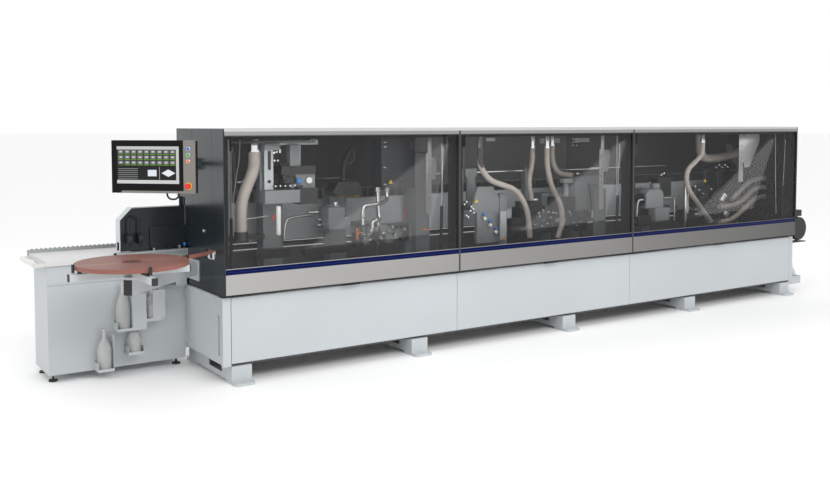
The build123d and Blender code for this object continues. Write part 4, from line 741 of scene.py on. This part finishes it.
# %% Glue unit
pipe("glue_pipes", chrome, [
    [(1548, 400, 1442), (1548, 400, 1372), (1540, 380, 1330), (1430, 330, 1304), (1290, 320, 1300),
     (1262, 320, 1290), (1252, 320, 1250), (1252, 320, 1130)],
    [(1438, 380, 1445), (1438, 360, 1220), (1436, 340, 1170), (1400, 320, 1160), (1352, 310, 1160),
     (1340, 310, 1130), (1340, 310, 1060)],
], 17)
turned("glue_pipe_collars", steel, [
    ((1548, 400, 1445), (1548, 400, 1400), ((0, 24), (20, 24), (22, 28), (40, 28), (45, 22))),
    ((1438, 380, 1446), (1438, 376, 1400), ((0, 24), (20, 24), (22, 28), (40, 28), (45, 22))),
    ((1252, 320, 1225), (1252, 320, 1190), ((0, 22), (8, 27), (26, 27), (35, 22))),
    ((1366, 316, 1163), (1398, 320, 1163), ((0, 22), (6, 26), (24, 26), (32, 22))),
])
turned("glue_head_fittings", chrome, [
    ((1240 + 42 * i, 300 + 11 * (i % 3), 1020 + 27 * ((i * 5) % 4)),
     (1240 + 42 * i, 262 + 11 * (i % 3), 1016 + 27 * ((i * 5) % 4)),
     knob_profile(38, 10 + 4 * (i % 3))) for i in range(11)
], steps=14)
plates("glue_head_blocks", unit_grey, [
    (rectangle((1300, 1400), (1060, 1104)), (300, 360)),
    (rectangle((1420, 1560), (1040, 1100)), (310, 380)),
    (rectangle((1470, 1540), (960, 1034)), (290, 350)),
    (rectangle((1570, 1650), (1000, 1070)), (320, 380)),
    (rectangle((1250, 1310), (960, 1030)), (310, 370)),
], bevel=3)
plates("glue_head_dark", motor_black, [
    (rectangle((1360, 1420), (980, 1056)), (300, 360)),
    (rectangle((1560, 1622), (1080, 1110)), (300, 380)),
    (rectangle((1660, 1740), (960, 1110)), (330, 400)),
    (rectangle((1180, 1240), (930, 1060)), (330, 400)),
    (rectangle((700, 1140), (905, 960)), (330, 420)),
    (rectangle((260, 560), (905, 980)), (330, 420)),
], bevel=3)
plates("orange_parts", orange_plastic, [
    (((1786, 1068), (1800, 1084), (1856, 1072), (1856, 1050)), (196, 204)),
    (rectangle((1158, 1172), (1010, 1112)), (262, 274)),
    (rectangle((1192, 1240), (1060, 1072)), (300, 320)),
    (rectangle((2740, 2760), (905, 930)), (240, 250)),
], bevel=2)
turned("glue_box_port", glue_dark, [
    ((1658, 350, 1498), (1658, 338, 1498), ((0, 32), (8, 32), (12, 28), (12, 20), (2, 18))),
])
turned("glue_box_dots", blue_plastic, [
    ((1461, 372 + 18 * j, 1860 - 30 * i), (1458, 372 + 18 * j, 1860 - 30 * i), ((0, 3.2), (2, 3.2), (3, 2)))
    for i in range(12) for j in range(0, 6, 3)
], steps=8)
turned("glue_box_bolts", chrome, [
    ((u, 350, v), (u, 345, v), ((0, 6), (4, 6), (5, 4)))
    for u in (1490, 1506, 1770) for v in (1800, 1840, 1620, 1470)
], steps=12)
turned("white_rods", white_knob, [
    ((468, 350, 1090), (468, 350, 1328), ((0, 17), (6, 20), (230, 20), (238, 16))),
    ((5462, 350, 1010), (5462, 350, 1342), ((0, 14), (6, 17), (320, 17), (332, 13))),
    ((2870, 380, 1120), (2870, 380, 1290), ((0, 14), (6, 17), (160, 17), (170, 13))),
])
plates("red_marks", red_plastic, [
    (rectangle((418, 432), (1216, 1262)), (352, 356)),
    (rectangle((1700, 1712), (1140, 1250)), (352, 356)),
    (rectangle((2756, 2770), (1230, 1300)), (420, 424)),
    (rectangle((3640, 3652), (1230, 1246)), (430, 434)),
    (rectangle((3880, 3892), (1236, 1290)), (430, 434)),
], bevel=0.8)
print("glue unit dressed")

# %% [markdown]
# Air pipes, cables and the long thin rod behind the units. They cross the whole hood and tie the
# units together to the eye.

# %% Rods, cables and pipes
turned("cross_rods", chrome, [
    ((300, 800, 1515), (1380, 800, 1515), ((0, 7), (1080, 7))),
    ((2260, 800, 1520), (4560, 800, 1510), ((0, 8), (2300, 8))),
    ((4400, 800, 1520), (5600, 800, 1518), ((0, 8), (1200, 8))),
    ((276, 800, 1508), (330, 800, 1508), ((0, 12), (54, 12))),
], steps=12)
pipe("air_pipes", steel, [
    [(282, 600, 1100), (284, 600, 1190), (300, 600, 1216), (372, 600, 1216), (486, 600, 1230)],
    [(620, 560, 1010), (620, 560, 1180), (700, 560, 1215), (900, 560, 1215)],
    [(4690, 380, 930), (4690, 380, 1170), (4760, 380, 1190), (5270, 380, 1190), (5290, 380, 1170),
     (5290, 380, 930)],
], 11)
pipe("thin_cables", white_knob, [
    [(34, 110, 1893), (30, 110, 1720), (-10, 112, 1560), (-25, 116, 1380)],
    [(6720, 130, 1880), (6728, 130, 1500), (6745, 130, 1200), (6760, 130, 950)],
    [(4128, 130, 1880), (4130, 130, 1400), (4136, 130, 950)],
    [(1950, 130, 1830), (1960, 130, 1500), (1945, 130, 1240)],
], 4)
pipe("black_cables", black, [
    [(60, 400, 1870), (120, 420, 1780), (110, 430, 1600), (150, 430, 1400), (140, 430, 1150)],
    [(2160, 300, 1800), (2220, 300, 1560), (2200, 320, 1330), (2260, 330, 1200)],
    [(4420, 320, 1700), (4500, 330, 1500), (4560, 330, 1200), (4620, 340, 1000)],
    [(3900, 300, 1400), (3960, 300, 1200), (3930, 300, 1040)],
    [(1830, 420, 1780), (1880, 420, 1500), (1840, 420, 1300), (1870, 400, 1130)],
], 9)
print("rods and cables done")

# %% [markdown]
# The end trimming plate carries a diagonal row of adjusters: a blue ring above a white cap, four
# times. Trimming heads, with round black housings and bright clamps, fill the space to its right.

# %% Trimming units
spots = ((2591, 1141), (2658, 1074), (2729, 1006), (2797, 938))
turned("trim_knobs_blue", blue_plastic, [
    ((u, 348, v + 8), (u, 322, v + 8), knob_profile(26, 15)) for u, v in spots
])
turned("trim_knobs_white", white_knob, [
    ((u, 348, v - 32), (u, 318, v - 32), knob_profile(30, 17)) for u, v in spots
])
turned("trim_bolts", chrome, [
    ((u, 346, v), (u, 334, v), knob_profile(12, 10))
    for u, v in ((2440, 1228), (2462, 1208), (2430, 1190), (2470, 1170),
                 (2384, 1148), (2404, 1132), (2360, 1254), (2384, 1276))
] + [
    ((u, 380, v), (u, 352, v), knob_profile(28, 11))
    for u, v in ((3290, 1120), (3300, 1090), (3420, 1124), (3404, 1010), (3330, 990), (3250, 1010),
                 (3450, 1070), (3480, 1116), (3520, 1108), (3700, 1110), (3716, 1084), (3760, 1000),
                 (3800, 970), (3860, 1006))
], steps=14)
turned("trim_housings", motor_black, [
    ((3270, 470, 1090), (3270, 370, 1090), ((0, 150), (60, 152), (76, 146), (86, 110), (100, 100))),
    ((3800, 520, 1080), (3800, 400, 1080), ((0, 168), (80, 170), (104, 160), (120, 120))),
    ((3950, 460, 1050), (3950, 380, 1050), ((0, 70), (70, 72), (80, 60))),
], steps=36)
plates("trim_blocks", motor_black, [
    (rectangle((3110, 3440), (930, 1180)), (420, 560)),
    (rectangle((2980, 3140), (905, 1080)), (400, 540)),
    (rectangle((3480, 3620), (905, 1050)), (430, 560)),
    (rectangle((3190, 3250), (1180, 1230)), (420, 520)),
    (rectangle((3840, 3990), (905, 1010)), (400, 520)),
], bevel=5)
plates("trim_light_blocks", light_plate, [
    (rectangle((2752, 2830), (895, 1168)), (296, 306)),
    (rectangle((3560, 3680), (1010, 1050)), (390, 420)),
    (rectangle((2890, 2960), (1090, 1180)), (380, 420)),
    (rectangle((3340, 3380), (1040, 1080)), (380, 400)),
    (((3690, 1440), (3912, 1452), (3912, 1402), (3760, 1392), (3690, 1404)), (440, 500)),
    (rectangle((3720, 3770), (1250, 1392)), (450, 480)),
], bevel=3)
turned("trim_disc", white_knob, [((3353, 400, 1130), (3353, 376, 1130), ((0, 24), (18, 26), (24, 20)))])
turned("clamps", chrome, [
    ((3337, 470, 1236), (3337, 470, 1260), ((0, 34), (4, 38), (20, 38), (24, 34))),
    ((3912, 470, 1476), (3912, 470, 1500), ((0, 20), (6, 28), (20, 28), (24, 18))),
    ((3830, 470, 1478), (3830, 470, 1498), ((0, 16), (6, 22), (16, 22), (20, 14))),
    ((3916, 440, 1440), (3910, 430, 1340), ((0, 12), (30, 12), (32, 18), (60, 18), (62, 10), (100, 10))),
])
plates("top_windows", light_plate, [
    (rectangle((2900, 3010), (1830, 1862)), (700, 706)),
    (rectangle((3600, 3690), (1800, 1850)), (700, 706)),
    (rectangle((3720, 3880), (1800, 1850)), (700, 706)),
    (rectangle((4080, 4300), (1806, 1850)), (700, 706)),
], bevel=2)
turned("top_lamps", white_knob, [
    ((3868 + 56 * i, 500, 1846 - 34 * j), (3868 + 56 * i, 494, 1846 - 34 * j), ((0, 8), (5, 8), (6, 5)))
    for i in range(2) for j in range(3)
], steps=12)
print("trimming units dressed")

# %% [markdown]
# Behind the third door stand the scraping heads, the polishing wheels and the grey end column.

# %% Scraping and polishing units
plates("scraper_heads", unit_grey, [
    (((4800, 1090), (4800, 1250), (4850, 1290), (5040, 1290), (5086, 1250), (5086, 1080)), (352, 470)),
    (rectangle((4890, 5126), (946, 1092)), (300, 400)),
    (rectangle((4960, 5070), (1290, 1350)), (390, 450)),
], bevel=8)
plates("scraper_dark", motor_black, [
    (rectangle((5150, 5376), (1187, 1400)), (500, 600)),
    (rectangle((4680, 4880), (905, 1010)), (340, 440)),
    (rectangle((5400, 5620), (905, 1040)), (360, 470)),
    (rectangle((5650, 5960), (1060, 1280)), (430, 560)),
    (rectangle((6128, 6478), (1330, 1448)), (430, 560)),
    (rectangle((6128, 6230), (1220, 1330)), (430, 560)),
    (rectangle((5980, 6170), (905, 1050)), (420, 560)),
    (rectangle((6500, 6880), (905, 1010)), (520, 700)),
], bevel=6)
turned("polishing_heads", black, [
    ((5780, 430, 1150), (5780, 360, 1150), ((0, 70), (40, 72), (60, 60), (70, 40))),
    ((5990, 430, 1160), (5990, 380, 1160), ((0, 60), (40, 62), (50, 50))),
    ((6110, 350, 985), (6110, 320, 985), ((0, 52), (20, 54), (30, 46))),
], steps=30)
turned("polishing_cylinder", chrome, [
    ((5990, 330, 1110), (6080, 330, 1190),
     ((0, 30), (10, 40), (50, 40), (54, 32), (76, 32), (80, 40), (110, 40), (120, 30))),
    ((6096, 330, 960), (6096, 300, 960), ((0, 44), (20, 44), (30, 34))),
])
turned("polishing_bolts", chrome, [
    ((5560 + 33 * i, 400 + 13 * (i % 2), 1040 + 43 * ((i * 3) % 7)),
     (5560 + 33 * i, 372 + 13 * (i % 2), 1040 + 43 * ((i * 3) % 7)),
     knob_profile(28, 8 + 3 * (i % 3))) for i in range(16)
] + [
    ((5160 + 40 * i, 480, 1440 + 13 * (i % 2)), (5160 + 40 * i, 450, 1440 + 13 * (i % 2)),
     knob_profile(30, 14)) for i in range(2)
] + [
    ((6030 + 50 * i, 430, 1500 + 24 * (i % 2)), (6030 + 50 * i, 402, 1500 + 24 * (i % 2)),
     knob_profile(28, 13)) for i in range(5)
], steps=14)
plates("end_column", unit_grey, [
    (((6760, 905), (6760, 1500), (6560, 1700), (6560, 1760), (6640, 1760), (6860, 1530),
      (6860, 905)), (700, 706)),
    (((6780, 905), (6780, 1496), (6840, 1520), (6840, 905)), (696, 700)),
], bevel=3)
plates("rail_blocks", black, [
    (rectangle((5300, 5330), (1010, 1100)), (380, 400)),
    (rectangle((4560, 4600), (1010, 1180)), (380, 420)),
], bevel=3)
print("scraping and polishing units dressed")

# %% [markdown]
# The back of the hood is lined, so that daylight does not show between the pressure beam and the
# rear sheet. A rubber curtain of many strips closes that gap above the boards.

# %% Rear curtain
strips = []
for i in range(176):
    left = -138 + 40.2 * i
    strips.append((rectangle((left, left + 39), (1012, 1404)), (1001 + (i % 2), 1003 + (i % 2))))
plates("rear_curtain", rubber, strips, bevel=0.4)
turned("outlet_flaps", frame_dark, [
    ((u - 0.5, 1032, 1700), (u + 0.055, 1032.83, 1700), ((0, 70), (0.4, 72), (1.0, 70))) for u in (1500, 5300)
], steps=36)
print("rear curtain done")

# %% [markdown]
# Outside, the lock on the hood's left side, the adjusters at the infeed and the rings round the
# operator's buttons are small, bright and easy to see against the dark metal.

# %% Outside fittings
turned("side_lock", chrome, [
    ((-149.5, 410, 1160), (-160, 410, 1160), ((0, 16), (3, 16), (4, 12), (8, 12), (10.5, 8))),
])
turned("band_guides", chrome, [
    ((-152, 205, 956), (-152, 205, 1008), ((0, 9), (6, 13), (44, 13), (52, 8))),
    ((-152, 300, 956), (-152, 300, 1000), ((0, 9), (6, 12), (38, 12), (44, 8))),
    ((-146, 250, 950), (-146, 330, 952), ((0, 7), (80, 7))),
])
plates("infeed_mechanics", unit_grey, [
    (rectangle((-352, -256), (700, 744)), (800, 853)),
    (rectangle((-330, -290), (744, 790)), (806, 850)),
    (rectangle((-345, -262), (686, 700)), (790, 853)),
], bevel=3)
turned("infeed_screws", chrome, [
    ((-340 + 22 * i, 800, 722), (-340 + 22 * i, 784, 722), knob_profile(16, 8)) for i in range(4)
], steps=14)
turned("fence_knobs", blue_plastic, [((-170, 792, 1004), (-170, 792, 1030), knob_profile(26, 12))])
turned("fence_caps", black, [
    ((-170, 792, 984), (-170, 792, 1004), ((0, 8), (18, 8), (20, 6))),
    ((-230, 792, 984), (-230, 792, 1012), knob_profile(28, 11)),
    ((-300, 780, 984), (-300, 780, 1006), knob_profile(22, 10)),
])


def on_panel(across, height, out):
    """A place on the operator's panel, in millimetres, from its middle."""
    return PANEL_MIDDLE * 1000 + PANEL_RIGHT * across + Vector((0, 0, height)) + PANEL_FACING * out


rim = ((0.1, 11.8), (0.1, 16), (2, 16), (3, 14.5), (3, 12.2), (0.1, 11.8))
turned("button_rims", chrome, [
    (on_panel(281, height, 24), on_panel(281, height, 27), rim) for height in (136, 89, 41)
], body="panel", steps=40)
guard_ring = ((0.1, 21), (0.1, 27.5), (1.2, 27.5), (1.6, 26.5), (1.6, 21.6), (0.1, 21))
turned("stop_ring", yellow_label, [
    (on_panel(281, -143, 24), on_panel(281, -143, 26), guard_ring),
], body="panel", steps=48)
turned("panel_screws", black, [
    (on_panel(side * 328, height, 24.1), on_panel(side * 328, height, 25), ((0, 3), (0.6, 2.6), (0.8, 1.6)))
    for side in (-1, 1) for height in (-190, 190)
], body="panel", steps=12)
print("outside fittings done")

# %% [markdown]
# Light comes from a pale studio: a bright even surround, one large soft box over the front and a
# weaker one from the left. Three soft boxes behind the panes stand for the lamps inside the hood.
# The floor is pale and catches only a soft shadow.

# %% Studio
bpy.ops.object.select_all(action="DESELECT")
bpy.ops.mesh.primitive_plane_add(size=400, location=(3, 0, 0))
floor = bpy.context.object
floor.name = "studio_floor"
floor_finish = Finish("studio_floor", Roughness=0.75)
floor_cloud = floor_finish.noise(0.4, 1)
floor_finish.set("Base Color", floor_finish.mix(floor_cloud, (0.94, 0.94, 0.94), (0.95, 0.95, 0.95)))
floor.data.materials.append(floor_finish.material)

world = bpy.data.worlds.new("studio")
bpy.context.scene.world = world
world.use_nodes = True
surround = world.node_tree.nodes["Background"]
surround.inputs["Color"].default_value = (1, 1, 1, 1)
surround.inputs["Strength"].default_value = 1.0


def soft_box(name, place, target, size, power):
    lamp_data = bpy.data.lights.new(name, "AREA")
    lamp_data.shape = "RECTANGLE"
    lamp_data.size, lamp_data.size_y = size
    lamp_data.energy = power
    lamp_object = bpy.data.objects.new(name, lamp_data)
    bpy.context.scene.collection.objects.link(lamp_object)
    aim = Vector(target) - Vector(place)
    lamp_object.matrix_world = Matrix.Translation(place) @ aim.to_track_quat("-Z", "Y").to_matrix().to_4x4()
    return lamp_object


soft_box("front_box", (0.5, -7.5, 6.5), (2.5, 0.3, 0.9), (8, 3), 420)
soft_box("left_box", (-7.5, 1.0, 4.5), (0.5, 0.3, 0.9), (3, 4), 70)
for name, middle, power in (
    ("inside_left", 0.95, 13),
    ("inside_middle", 3.14, 13),
    ("inside_right", 5.55, 11),
):
    lamp = soft_box(name, (middle, 0.06, 1.42), (middle + 0.15, 0.85, 1.18), (2.0, 0.85), power)
    lamp.visible_camera = False
bpy.context.scene.view_settings.view_transform = "Standard"
print("studio ready")
